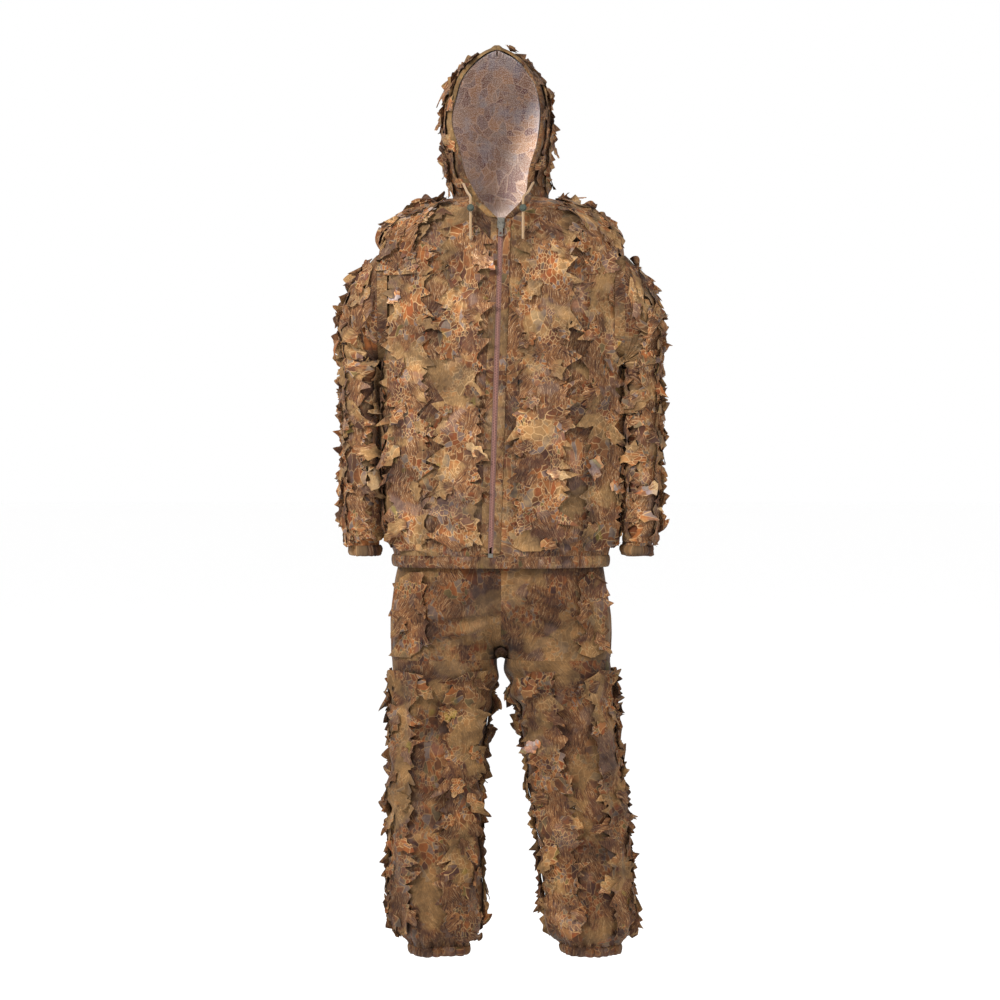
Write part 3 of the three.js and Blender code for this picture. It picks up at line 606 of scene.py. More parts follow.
def printed_cloth(name, tint=(1, 1, 1, 1), line=CREAM, line_show=0.8, weave=0.25):
    """Printed polyester: nets of snakeskin cells that spread from scattered centres, patches of small
    scales and brushed grass, over blotches of brown, maroon, olive and grey."""
    g = Graph(name)
    place = g.cloth_place()
    warped = g.warp(place, 26, 0.022)
    net_cells, net_edge = g.net(warped, 8.5, 3.1, 44)

    # Small scales, and patches of long petals.
    tall = g.vector("MULTIPLY", warped, (1.0, 0.62, 1.0))
    small = g.voronoi(tall, 190)
    small_edge = g.voronoi(tall, 190, "DISTANCE_TO_EDGE")
    long = g.vector("MULTIPLY", warped, (1.0, 0.4, 1.0))
    petal = g.voronoi(long, 84)
    petal_edge = g.voronoi(long, 84, "DISTANCE_TO_EDGE")

    def tones(value):
        return g.ramp(
            value,
            [
                (0.0, MAROON), (0.14, BROWN), (0.3, ORANGE), (0.46, TAN), (0.6, RUST), (0.74, BROWN),
                (0.86, LILAC), (1.0, OLIVE),
            ],
        )

    def cell(found, turn):
        return tones(g.math("FRACT", g.math("MULTIPLY", found.outputs["Color"], turn)))

    def line_of(edge, wide):
        return g.step(edge.outputs["Distance"], wide, wide * 0.45)

    # Brushed grass: long thin strokes, each tuft leaning its own way.
    tuft = g.voronoi(warped, 17)
    blade = g.separate(g.vector("SUBTRACT", warped, tuft.outputs["Position"]))
    lean = g.math("MULTIPLY", g.math("SUBTRACT", tuft.outputs["Color"], 0.5), 1.8)
    leaned = g.combine(
        g.math("ADD", blade[0], g.math("MULTIPLY", blade[1], lean)), g.math("MULTIPLY", blade[1], 0.09),
        g.math("MULTIPLY", tuft.outputs["Color"], 3.0),
    )
    strokes = g.noise(leaned, 640, 3, 0.7).outputs["Fac"]
    grass = g.ramp(
        strokes,
        [
            (0.30, DARK), (0.38, MAROON), (0.45, BROWN), (0.52, TAN), (0.57, BROWN), (0.62, CREAM),
            (0.68, TAN), (0.74, LILAC),
        ],
    )

    # Which pattern shows where, with crisp borders.
    patches = g.noise(place, 16, 2).outputs["Fac"]
    is_small = g.step(patches, 0.46, 0.47)
    is_petal = g.step(patches, 0.56, 0.57)
    meadow = g.noise(g.vector("ADD", place, (3.1, 1.7, 0.0)), 13, 3, 0.6).outputs["Fac"]
    is_grass = g.step(meadow, 0.50, 0.515)
    base = g.mix(is_petal, g.mix(is_small, cell(net_cells, 3.7), cell(small, 2.3)), cell(petal, 5.1))
    lines = g.mix(is_small, line_of(net_edge, 0.065), line_of(small_edge, 0.12))
    lines = g.mix(is_petal, lines, line_of(petal_edge, 0.055))
    base = g.mix(is_grass, base, grass)
    lines = g.mix(is_grass, lines, (0.0, 0.0, 0.0, 1))
    base = g.blot(base, place, (7.3, 4.1, 0.0), (16, 3, 0.6), (0.53, 0.60), 0.6, MAROON)
    base = g.blot(base, place, (5.9, 2.6, 0.0), (12, 3, 0.6), (0.57, 0.61), 0.35, LILAC)
    base = g.blot(base, place, (2.2, 8.6, 0.0), (9, 3, 0.6), (0.52, 0.56), 0.5, STRAW)
    base = g.blot(base, place, (1.3, 9.2, 0.0), (14, 2), (0.69, 0.73), 0.45, MOSS)
    base = g.mix(g.math("MULTIPLY", lines, line_show), base, line)
    shade = g.noise(place, 13, 4, 0.65).outputs["Fac"]
    light = [(0.36, (0.42, 0.4, 0.42, 1)), (0.5, (0.95, 0.93, 0.9, 1)), (0.64, (1.55, 1.5, 1.42, 1))]
    base = g.mix(0.9, base, g.ramp(shade, light), "MULTIPLY")
    wear = g.noise(place, 240, 3, 0.7).outputs["Fac"]
    base = g.mix(0.45, base, g.ramp(wear, [(0.3, (0.5, 0.5, 0.5, 1)), (0.7, (1.3, 1.3, 1.3, 1))]), "MULTIPLY")
    base = g.mix(1.0, base, tint, "MULTIPLY")
    rough = g.math("ADD", g.math("MULTIPLY", wear, 0.2), 0.68)
    g.set(Base_Color=base, Roughness=rough, Sheen_Weight=0.03, Sheen_Roughness=0.5, Specular_IOR_Level=0.12)
    threads = g.noise(g.vector("MULTIPLY", place, (1.0, 1.6, 1.0)), 1500, 1).outputs["Fac"]
    crumple = g.noise(place, 55, 4, 0.6).outputs["Fac"]
    height = g.math("ADD", g.math("MULTIPLY", threads, 0.06), crumple)
    g.bump(height, weave, 0.006)
    return g.material


def mesh_lining():
    """The hood's inside: a greyed print on fine dotted mesh."""
    g = Graph("mesh_lining")
    place = g.cloth_place()
    cells, edges = g.net(g.warp(place, 20, 0.03), 6.0, 2.6, 40)
    edge = edges.outputs["Distance"]
    tone = g.ramp(
        g.math("FRACT", g.math("MULTIPLY", cells.outputs["Color"], 3.7)),
        [
            (0.0, linear(112, 74, 76)), (0.3, linear(140, 108, 92)), (0.55, linear(182, 138, 104)),
            (0.8, linear(150, 132, 124)), (1.0, linear(128, 96, 94)),
        ],
    )
    base = g.mix(g.math("MULTIPLY", g.step(edge, 0.08, 0.03), 0.6), tone, linear(214, 184, 160))
    haze = g.noise(place, 14, 4, 0.6).outputs["Fac"]
    base = g.mix(g.math("MULTIPLY", g.step(haze, 0.47, 0.6), 0.7), base, linear(150, 128, 116))
    base = g.blot(base, place, (4.2, 1.9, 0.0), (20, 4, 0.65), (0.52, 0.64), 0.55, linear(150, 152, 166))
    dots = g.voronoi(place, 380, "F1", 0.55).outputs["Distance"]
    base = g.mix(g.math("MULTIPLY", g.step(dots, 0.36, 0.2), 0.62), base, linear(240, 230, 220))
    g.set(Base_Color=base, Roughness=0.85, Sheen_Weight=0.1, Specular_IOR_Level=0.2)
    g.bump(dots, 0.5, 0.0012)
    return g.material


def plain_cloth(name, colour, scale=900.0, stretch=(1.0, 1.0, 1.0), bump=0.4):
    """Plain woven cloth or braid: a fine weave with faint soiling."""
    g = Graph(name)
    place = g.cloth_place()
    weave = g.node("ShaderNodeTexWave", bands_direction="DIAGONAL")
    g.put(g.vector("MULTIPLY", place, stretch), weave.inputs["Vector"])
    weave.inputs["Scale"].default_value = scale
    weave.inputs["Distortion"].default_value = 1.5
    soil = g.noise(place, 60, 4, 0.6).outputs["Fac"]
    dark = tuple(c * 0.62 for c in colour[:3]) + (1,)
    base = g.mix(g.math("MULTIPLY", soil, 0.7), colour, dark)
    base = g.mix(g.math("MULTIPLY", weave.outputs["Fac"], 0.35), base, dark)
    g.set(Base_Color=base, Roughness=g.math("ADD", g.math("MULTIPLY", soil, 0.2), 0.7), Sheen_Weight=0.25)
    g.bump(weave.outputs["Fac"], bump, 0.0006)
    return g.material


def zip_plastic():
    g = Graph("zip_teeth")
    grain = g.noise(g.node("ShaderNodeTexCoord").outputs["Object"], 900, 3, 0.6).outputs["Fac"]
    base = g.mix(grain, linear(98, 62, 54), linear(128, 88, 76))
    g.set(Base_Color=base, Roughness=g.math("ADD", g.math("MULTIPLY", grain, 0.25), 0.3))
    g.bump(grain, 0.15, 0.0002)
    return g.material


def metal(name, colour):
    """Die-cast metal: brushed, with tarnish in patches."""
    g = Graph(name)
    place = g.node("ShaderNodeTexCoord").outputs["Object"]
    brushed = g.noise(g.vector("MULTIPLY", place, (1.0, 1.0, 0.05)), 2600, 2).outputs["Fac"]
    tarnish = g.noise(place, 320, 4, 0.65).outputs["Fac"]
    dark = tuple(c * 0.45 for c in colour[:3]) + (1,)
    g.set(
        Base_Color=g.mix(g.step(tarnish, 0.45, 0.7), colour, dark), Metallic=0.9,
        Roughness=g.math("ADD", g.math("MULTIPLY", tarnish, 0.35), 0.2),
    )
    g.bump(brushed, 0.12, 0.0002)
    return g.material


def lock_plastic():
    g = Graph("lock_plastic")
    place = g.node("ShaderNodeTexCoord").outputs["Object"]
    grain = g.noise(place, 1500, 3, 0.6).outputs["Fac"]
    scuff = g.noise(place, 180, 3, 0.6).outputs["Fac"]
    base = g.mix(g.step(scuff, 0.5, 0.75), linear(36, 44, 34), linear(62, 66, 52))
    g.set(Base_Color=base, Roughness=g.math("ADD", g.math("MULTIPLY", scuff, 0.3), 0.28))
    g.bump(grain, 0.2, 0.0002)
    return g.material


jacket_cloth = printed_cloth("jacket_cloth", tint=(0.31, 0.29, 0.26, 1), line=PALE_LINE, line_show=0.6)
leaf_cloth = printed_cloth("leaf_cloth", tint=(0.43, 0.4, 0.35, 1), line=PALE_LINE, line_show=0.75)
trouser_cloth = printed_cloth("trouser_cloth", tint=(0.235, 0.205, 0.165, 1), line=PALE_LINE, line_show=0.5)
trouser_leaf = printed_cloth("trouser_leaf_cloth", tint=(0.32, 0.285, 0.23, 1), line=PALE_LINE, line_show=0.7)
pale_leaf = printed_cloth("leaf_reverse", tint=(0.95, 1.0, 1.02, 1), line=BROWN, line_show=0.5)
lining = mesh_lining()
casing_print = printed_cloth("casing_print", tint=(0.3, 0.29, 0.24, 1), line=PALE_LINE, line_show=0.35)
tape_cloth = plain_cloth("zip_tape_cloth", linear(98, 66, 56), 1400)
cord_cloth = plain_cloth("drawcord_braid", linear(156, 122, 80), 700, (1.0, 0.6, 1.0), 0.8)
teeth_plastic = zip_plastic()
zip_metal = metal("zip_metal", linear(112, 108, 100))
dark_plastic = lock_plastic()

# ---- Meshes ----


def make(name, points, faces, material, uv=None, more=(), indices=None):
    """A mesh object from points in millimetres, with its place on the flat cloth as a UV map."""
    mesh = bpy.data.meshes.new(name)
    mesh.from_pydata((np.asarray(points, float) * MM).tolist(), [], faces)
    mesh.materials.append(material)
    for extra in more:
        mesh.materials.append(extra)
    mesh.polygons.foreach_set("use_smooth", [True] * len(mesh.polygons))
    if indices is not None:
        mesh.polygons.foreach_set("material_index", indices)
    layer = mesh.uv_layers.new(name="cloth")
    corner = np.empty(len(mesh.loops), np.int32)
    mesh.loops.foreach_get("vertex_index", corner)
    flat = np.asarray(uv if uv is not None else np.asarray(points)[:, [0, 2]], float)[corner] * MM
    layer.data.foreach_set("uv", flat.astype(np.float32).ravel())
    mesh.update()
    made = bpy.data.objects.new(name, mesh)
    bpy.context.scene.collection.objects.link(made)
    return made


def walk(line):
    """How far each point is along a line of points."""
    return np.concatenate([[0], np.cumsum(np.linalg.norm(np.diff(line, axis=0), axis=1))])


def grid_faces(rows, columns, wrapped=False, start=0):
    across = columns if wrapped else columns - 1
    faces = []
    for r in range(rows - 1):
        for c in range(across):
            a = start + r * columns + c
            b = start + r * columns + (c + 1) % columns
            faces.append((a, b, b + columns, a + columns))
    return faces


def grid_mesh(name, points, material, flat):
    """A sheet from a grid of points and their places on the flat cloth."""
    faces = grid_faces(*points.shape[:2])
    return make(name, points.reshape(-1, 3), faces, material, flat.reshape(-1, 2))


def skin_grid(surface, places, from_, to, columns, lift=0.0):
    """Points and flat places of a panel between two edges, each a function of the place along it."""
    at = np.repeat(np.asarray(places, float)[:, None], columns, axis=1)
    a, b = from_(at[:, :1]), to(at[:, :1])
    d = a + (b - a) * np.linspace(0, 1, columns)[None, :]
    return surface.point(at, d, np.full(at.shape, float(lift))), at, d


# ---- Camera ----

bpy.context.scene.view_settings.view_transform = "Standard"
lens = bpy.data.cameras.new("camera")
lens.sensor_width = 36
lens.lens = 110.8
camera = bpy.data.objects.new("camera", lens)
CAMERA_PLACE = (-0.002, -6.0, -0.45)
CAMERA_TARGET = (-0.002, 0, -0.585)
camera.location = CAMERA_PLACE
camera.rotation_euler = (Vector(CAMERA_TARGET) - camera.location).to_track_quat("-Z", "Y").to_euler()
bpy.context.scene.collection.objects.link(camera)
bpy.context.scene.camera = camera

# ---- Cords of the hood ----


def edge_distance(z):
    """How far round the hood its face opening is cut."""
    return hood.where_wide(np.clip(z, 0, HOOD_TOP), curve(FACE, z))


def hood_edge(z):
    """The cloth's own edge, a little outside the opening; above the opening both sides meet."""
    opening = edge_distance(z)
    return opening + np.clip(opening / 3, 0, 1)


def tube(name, line, diameter, material):
    """A cord as a round tube along points in millimetres, with its braid wound along it."""
    line = np.asarray(line, float)
    sides = 10
    tangent = np.gradient(line, axis=0)
    tangent /= np.linalg.norm(tangent, axis=1, keepdims=True)
    first = np.cross(tangent, [0.3, 0.9, 0.1])
    first /= np.linalg.norm(first, axis=1, keepdims=True)
    second = np.cross(tangent, first)
    turn = np.linspace(0, 2 * math.pi, sides, endpoint=False)[None, :, None]
    spoke = first[:, None, :] * np.cos(turn) + second[:, None, :] * np.sin(turn)
    points = line[:, None, :] + diameter / 2 * spoke
    walked = walk(line)
    uv = np.stack(np.broadcast_arrays(turn[:, :, 0] * diameter / 2, walked[:, None]), axis=-1).reshape(-1, 2)
    faces = grid_faces(len(line), sides, wrapped=True)
    faces += [tuple(range(sides))[::-1], tuple(range((len(line) - 1) * sides, len(line) * sides))]
    return make(name, points.reshape(-1, 3), faces, material, uv)


def smooth_line(corners, count):
    """A line through the corners with its bends rounded."""
    corners = np.asarray(corners, float)
    key = walk(corners)
    at = np.linspace(0, key[-1], count)
    return np.stack([curve(np.stack([key, corners[:, i]], axis=1), at) for i in range(3)], axis=1)


for name, side in SIDES:
    x = HOOD_SHIFT + side * CORD_X
    leave = hood.point(CORD_START, side * (edge_distance(CORD_START) + CASING_WIDE / 2), 4.0)
    knee = [(leave[0] + x) / 2, (leave[1] + CORD_FRONT) / 2 - 4, 7]
    line = smooth_line([leave, knee] + [[x, CORD_FRONT, z] for z in (-7, -12, -38, -60, CORD_END)], 60)
    cord = tube(f"{name}_drawcord_end", line, CORD, cord_cloth)
    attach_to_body(cord, "hood")
    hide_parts(f"{name}_cord_end")
    float(walk(line)[-1] * MM)

# ---- The garments' cloth ----


def row_places(low, high, step=6.0):
    return np.linspace(low, high, int(abs(high - low) / step) + 2)


def keep(points, test):
    """Which faces of a grid of points have a centre that passes the test."""
    centre = (points[:-1, :-1] + points[1:, :-1] + points[:-1, 1:] + points[1:, 1:]) / 4
    return test(centre).reshape(-1)


def panel(
    name, node, surface, places, from_, to, columns, material, body=None, bend=None, lift=0.8,
    offset=(0.0, 0.0), test=None,
):
    """A cloth panel that takes the place of a node of the model."""
    points, at, d = skin_grid(surface, places, from_, to, columns, lift)
    faces = grid_faces(*at.shape)
    if test is not None:
        wanted = keep(points, test)
        faces = [f for f, w in zip(faces, wanted) if w]
    flat_at = along(surface, places)[:, None] + 0 * at
    uv = np.stack([d + offset[0], flat_at + offset[1]], axis=-1).reshape(-1, 2)
    made = make(name, points.reshape(-1, 3), faces, material, uv)
    attach(made, body, bend)
    if node:
        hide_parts(node)
    return made


def lay_print(made, where=lambda place: (place.x, place.z)):
    """Lay the print by a rule from each corner's place; without one, as it is seen from the front."""
    layer = made.data.uv_layers["cloth"].data
    for loop in made.data.loops:
        layer[loop.index].uv = where(made.data.vertices[loop.vertex_index].co)


def along(surface, places):
    """Distances along the side of a tube, so that the print isn't stretched on slopes."""
    side = surface.point(places, surface.half_round(places) * 0.35)
    return walk(side)


def attach(made, body, bend):
    if bend:
        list(bend)
        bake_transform(made)
    else:
        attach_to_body(made, body)


HOOD_BEND = ("jacket", "hood", (0, 0, 0.0), (0, 0, 0.03))


def elbow_bend(name, side):
    return ("jacket", f"{name}_forearm", (side * 0.27, 0, -0.36), (side * 0.27, 0, -0.45))


def hip_bend(name, side):
    return ("trousers", f"{name}_leg", (side * 0.112, 0, -0.892), (side * 0.112, 0, -1.09))


def outside_armhole(centre):
    x, y, z = centre[..., 0], centre[..., 1], centre[..., 2]
    hole = ((z - ARM_PIT - ARMHOLE_TALL) / ARMHOLE_TALL) ** 2 + (y / ARMHOLE_DEEP) ** 2
    return (hole > 0.55) | (np.abs(x) < 205)


def front_edge(side):
    def edge(z):
        z = np.asarray(z, float)
        high = np.clip(z, ZIP_TOP, 0)
        neck = torso.where_wide(high, curve(FACE, high))
        return np.where(z > ZIP_TOP, side * neck, zip_x(z) + side * 5)

    return edge


torso_rows = np.concatenate([row_places(JACKET_END, -90), row_places(-87, 0, 2.5)])
for name, side in SIDES:
    panel(
        f"{name}_front_cloth", f"{name}_front_panel", torso, torso_rows, front_edge(side),
        lambda z, s=side: s * torso.half_round(z) / 2, 70, jacket_cloth, "jacket",
        test=outside_armhole, offset=(side * 400, 0),
    )
panel(
    "back_cloth", "back_panel", torso, torso_rows, lambda z: torso.half_round(z) / 2,
    lambda z: torso.half_round(z) * 1.5,
    120, jacket_cloth, "jacket", test=outside_armhole, offset=(0, 900),
)

hood_rows = np.concatenate([row_places(0, 240, 5), row_places(243, HOOD_TOP - 0.5, 2)])
for name, side in SIDES:
    panel(
        f"{name}_hood_cloth", f"{name}_hood_panel", hood, hood_rows,
        lambda z, s=side: s * hood_edge(z), lambda z, s=side: s * hood.half_round(z),
        60, jacket_cloth, bend=HOOD_BEND, offset=(side * 700, 1800),
    )
    inside = panel(
        f"{name}_hood_lining", None, hood, hood_rows,
        lambda z, s=side: s * hood_edge(z), lambda z, s=side: s * hood.half_round(z),
        60, lining, bend=HOOD_BEND, lift=-2.5,
    )
    lay_print(inside)
ridge_round = np.linspace(0, float(hood.half_round(HOOD_TOP - 1.5)), 40)
ridge_sides = [hood.point(HOOD_TOP - 1.5 + 0 * ridge_round, way * ridge_round, 0.8) for way in (-1, 1)]
ridge = np.stack(ridge_sides, axis=1)
ridge_flat = np.stack([np.tile([-1.0, 1.0], (40, 1)), np.stack([ridge_round, ridge_round], axis=1)], axis=-1)
ridge_tape = grid_mesh("hood_ridge_tape", ridge, jacket_cloth, ridge_flat)
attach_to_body(ridge_tape, "hood")
inside = panel(
    "neck_lining", None, torso, row_places(-150, -1, 4), lambda z: torso.half_round(z) * 0.7,
    lambda z: torso.half_round(z) * 1.3,
    50, lining, "jacket", lift=-2.5,
)
lay_print(inside)
slope = np.linspace(0, 1, 24)[:, None]
across = np.linspace(-1, 1, 30)[None, :]
fall = slope * slope * (3 - 2 * slope)
# The lining that shows behind the zip's top, sloping from the back of the neck to the throat.
throat_y = (NECK_DEEP - 6) * (1 - fall) - (ZIP_TOP_DEEP - 34) * fall - 14 * (1 - across**2) * (1 - slope)
throat = np.stack([across * (80 - 42 * slope), throat_y, 2 - 58 * slope + 6 * across**2], axis=-1)
inside = grid_mesh("throat_lining", throat, lining, throat[..., :2])
lay_print(inside)
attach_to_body(inside, "jacket")

for name, side in SIDES:
    for part, node, low, high in (
        ("upper", "upper_sleeve", 0.02, ELBOW), ("forearm", "forearm_sleeve", ELBOW, 10)
    ):
        sleeve_cloth = panel(
            f"{name}_{part}_sleeve_cloth", f"{name}_{node}", sleeves[name],
            np.linspace(low, high, int((high - low) * 14)),
            lambda z: -sleeves[name].half_round(z) + 0 * z, lambda z: sleeves[name].half_round(z) + 0 * z,
            96, jacket_cloth, bend=elbow_bend(name, side),
        )
        lay_print(sleeve_cloth, lambda place, s=side: (s * place.x - abs(place.y) + 5 + s, place.z))

for name, side in SIDES:
    around = np.linspace(-1, 1, 97) * float(sleeves[name].half_round(0.02))
    rim = sleeves[name].point(0.02 + 0 * around, around)
    inner = rim * [1, 1.04, 1] - [side * 20, 0, 0]
    seam = np.stack([rim, (rim + inner) / 2, inner])
    flat = np.stack([np.tile(around, (3, 1)), np.repeat([[0.0], [10.0], [20.0]], 97, axis=1)], axis=-1)
    made = grid_mesh(f"{name}_armhole_seam", seam, jacket_cloth, flat)
    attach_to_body(made, "jacket")

hip_rows = row_places(CROTCH - 2, WAIST - WAIST_TALL, 4)
for name, side in SIDES:
    panel(
        f"{name}_trouser_cloth", f"{name}_trouser_front", hips, hip_rows, lambda z: 0 * z,
        lambda z, s=side: s * hips.half_round(z) / 2, 64, trouser_cloth, "trousers",
        offset=(side * 240, 3300),
    )
panel(
    "trouser_back_cloth", "trouser_back", hips, hip_rows, lambda z: hips.half_round(z) / 2,
    lambda z: hips.half_round(z) * 1.5,
    110, trouser_cloth, "trousers", offset=(0, 3700),
)
for name, side in SIDES:
    leg = legs[name]
    leg_rows = row_places(ANKLE, CROTCH - 2, 5)
    for part, node, low, high in (("front", "leg_front", -0.5, 0.5), ("back", "leg_back", 0.5, 1.5)):
        panel(
            f"{name}_leg_{part}_cloth", f"{name}_{node}", leg, leg_rows, lambda z,
            a=low: leg.half_round(z) * a,
            lambda z, b=high: leg.half_round(z) * b, 64, trouser_cloth,
            bend=hip_bend(name, side), offset=(side * 500 + low * 800, 4200),
        )

# The gusset closes the fork of the trousers from underneath.
gusset_y = np.linspace(-30, 36, 30)
valley_z = np.linspace(CROTCH, CROTCH + 104, 60)
front_z = hips.point(valley_z, 0.0)[:, 1]
back_z = hips.point(valley_z, hips.half_round(valley_z))[:, 1]
arch = np.where(
    gusset_y < 4, np.interp(gusset_y, front_z[::-1], valley_z[::-1]), np.interp(gusset_y, back_z, valley_z)
)
gx, gy = np.meshgrid(np.linspace(-12, 12, 9), gusset_y, indexing="ij")
gz = arch[None, :] - 3 - 8 * (gx / 12) ** 2
gusset_points = np.stack([gx, gy, gz], axis=-1)
gusset = grid_mesh(
    "crotch_gusset_cloth", gusset_points, trouser_cloth, gusset_points[..., :2],
)
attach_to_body(gusset, "trousers")
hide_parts("crotch_gusset")

# ---- Elastic bands ----


def elastic(name, node, surface, places, body, material, pleat, puff):
    """A turned casing gathered on elastic: a puffed band with fine upright pleats."""
    half = float(surface.half_round(places[0]))
    columns = int(2 * half / 2.6)
    rows = len(places)
    at = np.repeat(np.asarray(places, float)[:, None], columns, axis=1)
    d = np.repeat((np.linspace(-1, 1, columns, endpoint=False) * half)[None, :], rows, axis=0)
    share = np.linspace(0, 1, rows)[:, None]
    ripple = waves(len(name), 5, (90, 300), (pleat * 0.7, pleat * 1.5), 1.5)(at, d)
    lift = 2.0 + puff * np.sin(math.pi * share) ** 0.5 + ripple
    ratio = surface.half_round(at) / half
    points = surface.point(at, d * ratio, lift)
    inner = surface.point(at[::-1], (d * ratio)[::-1], -1.5 + 0 * lift)
    points = np.concatenate([points, inner])
    uv = np.stack([np.concatenate([d, d + 60]) * 1.5, np.concatenate([at, at[::-1]])], axis=-1).reshape(-1, 2)
    faces = grid_faces(2 * rows, columns, wrapped=True)
    last = (2 * rows - 1) * columns
    faces += [(last + c, last + (c + 1) % columns, (c + 1) % columns, c) for c in range(columns)]
    made = make(name, points.reshape(-1, 3), faces, material, uv)
    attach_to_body(made, body)
    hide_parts(node)
    return made


elastic(
    "jacket_hem", "jacket_hem_elastic", torso, np.linspace(JACKET_END, JACKET_END - HEM_TALL + 1, 9),
    "jacket", jacket_cloth, 13, 3.5,
)
elastic(
    "trouser_waistband", "waistband_elastic", hips, np.linspace(WAIST - 1, WAIST - WAIST_TALL, 9),
    "trousers", trouser_cloth, 12, 3,
)
for name, side in SIDES:
    elastic(
        f"{name}_cuff", f"{name}_cuff_elastic", sleeves[name], np.linspace(10, 11, 8), f"{name}_forearm",
        jacket_cloth, 10, 3,
    )
    elastic(
        f"{name}_ankle_band", f"{name}_ankle_elastic", legs[name],
        np.linspace(ANKLE, ANKLE - ANKLE_TALL + 1, 8), f"{name}_leg", trouser_cloth, 11, 3,
    )

# ---- Hood edge, hanger loop and zip ----


def edge_strip(name, surface, places, near, far, side, lift, material, puff=0.0, columns=9):
    """A strip beside an edge; near and far are distances from the middle on the side given."""
    share = np.linspace(0, 1, columns)
    a, b = near(places), far(places)
    d = side * (a[:, None] + (b - a)[:, None] * share[None, :])
    at = np.repeat(np.asarray(places, float)[:, None], columns, axis=1)
    high = lift + puff * np.sqrt(np.maximum(np.sin(math.pi * share), 0))[None, :] + 0 * at
    points = surface.point(at, d, high)
    walked = walk(points[:, 0])
    return grid_mesh(name, points, material, np.stack([d, walked[:, None] + 0 * d], axis=-1))


CASING_SEEN = 15.0  # how much of the folded casing shows beside the opening
casing_rows = np.concatenate([row_places(CORD_START, 240, 4), row_places(243, HOOD_TOP - 0.4, 1.2)])
over_top = [(-1, casing_rows), (1, casing_rows[::-1])]
share = np.linspace(0, 1, 12)
casing_grid = np.concatenate(
    [
        hood.point(
            rows[:, None] + 0 * share[None, :],
            side * (edge_distance(rows)[:, None] - 1.5 + CASING_SEEN * share[None, :]),
            1.6 + 4.6 * np.sqrt(np.maximum(np.sin(math.pi * share), 0))[None, :] + 0 * rows[:, None],
        )
        for side, rows in over_top
    ]
)
round_edge = walk(casing_grid[:, 6])
casing_flat = np.stack(
    [round_edge[:, None] + 0 * share[None, :], share[None, :] * 30 + 0 * round_edge[:, None]], axis=-1,
)
casing = grid_mesh("hood_casing_cloth", casing_grid, casing_print, casing_flat)
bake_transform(casing)
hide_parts("hood_edge_casing")
for name, side in SIDES:
    for part, surface, rows, edge, bend in (
        ("throat_edge", torso, (ZIP_TOP, 0), lambda z: np.abs(front_edge(1)(z)), None),
        ("throat_edge_of_hood", hood, (0, CORD_START), edge_distance, HOOD_BEND),
    ):
        throat_edge = edge_strip(
            f"{name}_{part}", surface, row_places(*rows, 3), lambda z, e=edge: e(z) - 1,
            lambda z, e=edge: e(z) + CASING_SEEN, side, 1.6, casing_print, puff=3.0,
        )
        attach(throat_edge, "jacket", bend)

ring = []
for side, rows in over_top:
    ring.append(hood.point(rows, side * (edge_distance(rows) + CASING_SEEN / 2 - 1), 3.0 + 0 * rows))
hood_cord = tube("hood_drawcord", np.concatenate([ring[0], ring[1][3:]]), CORD, cord_cloth)
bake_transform(hood_cord)
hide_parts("hood_cord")

low, high = (np.array(corner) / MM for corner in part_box("hanger_loop"))
loop_x = np.linspace(low[0], high[0], 30)[:, None] + np.zeros((1, 6))
loop_y = np.linspace(low[1], high[1], 6)[None, :] + np.zeros((30, 1))
loop_arch = low[2] + 1 + 2.5 * np.sin(math.pi * np.linspace(0, 1, 30))[:, None] + 0 * loop_y
loop_points = np.stack([loop_x, loop_y, loop_arch], axis=-1)
hanger_loop = grid_mesh("hanger_loop_tape", loop_points, tape_cloth, loop_points[..., :2])
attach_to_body(hanger_loop, "jacket")
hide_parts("hanger_loop")


def boxes(name, centres, half, turn, material):
    """Many small blocks as one mesh; turn tilts them all about Y."""
    corner = np.array([[x, y, z] for z in (-1, 1) for y in (-1, 1) for x in (-1, 1)], float) * half
    c, s = math.cos(turn), math.sin(turn)
    corner = corner @ np.array([[c, 0, -s], [0, 1, 0], [s, 0, c]])
    points = (np.asarray(centres)[:, None, :] + corner[None]).reshape(-1, 3)
    quads = [(0, 2, 3, 1), (4, 5, 7, 6), (0, 1, 5, 4), (2, 6, 7, 3), (0, 4, 6, 2), (1, 3, 7, 5)]
    faces = [tuple(8 * k + q for q in quad) for k in range(len(centres)) for quad in quads]
    made = make(name, points, faces, material)
    for face in made.data.polygons:
        face.use_smooth = False
    return made


PITCH = 3.0  # of the zip teeth
zip_rows = np.arange(ZIP_END + 12, ZIP_TOP - 14, PITCH)
for name, side, shift in (("right", -1, 0.0), ("left", 1, PITCH / 2)):
    z = zip_rows + shift
    centres = np.stack([zip_x(z) + side * 1.4, -front_at(z) - 2.2, z], axis=1)
    teeth = boxes(f"{name}_zip_tooth_row", centres, (2.0, 1.3, 0.75), 0.0, teeth_plastic)
    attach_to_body(teeth, "jacket")
    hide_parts(f"{name}_zip_teeth")
    tape = edge_strip(
        f"{name}_zip_tape_cloth", torso, row_places(ZIP_END, ZIP_TOP - 2, 8), lambda z,
        s=side: s * zip_x(z) + 2.5,
        lambda z, s=side: s * zip_x(z) + 7, side, 2.0, tape_cloth, columns=4,
    )
    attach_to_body(tape, "jacket")
    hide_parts(f"{name}_zip_tape")
    placket = edge_strip(
        f"{name}_zip_placket", torso, row_places(ZIP_END, ZIP_TOP - 2, 8), lambda z, s=side: s * zip_x(z) + 5,
        lambda z, s=side: s * zip_x(z) + 19, side, 2.4, jacket_cloth, puff=1.6, columns=7,
    )
    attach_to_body(placket, "jacket")

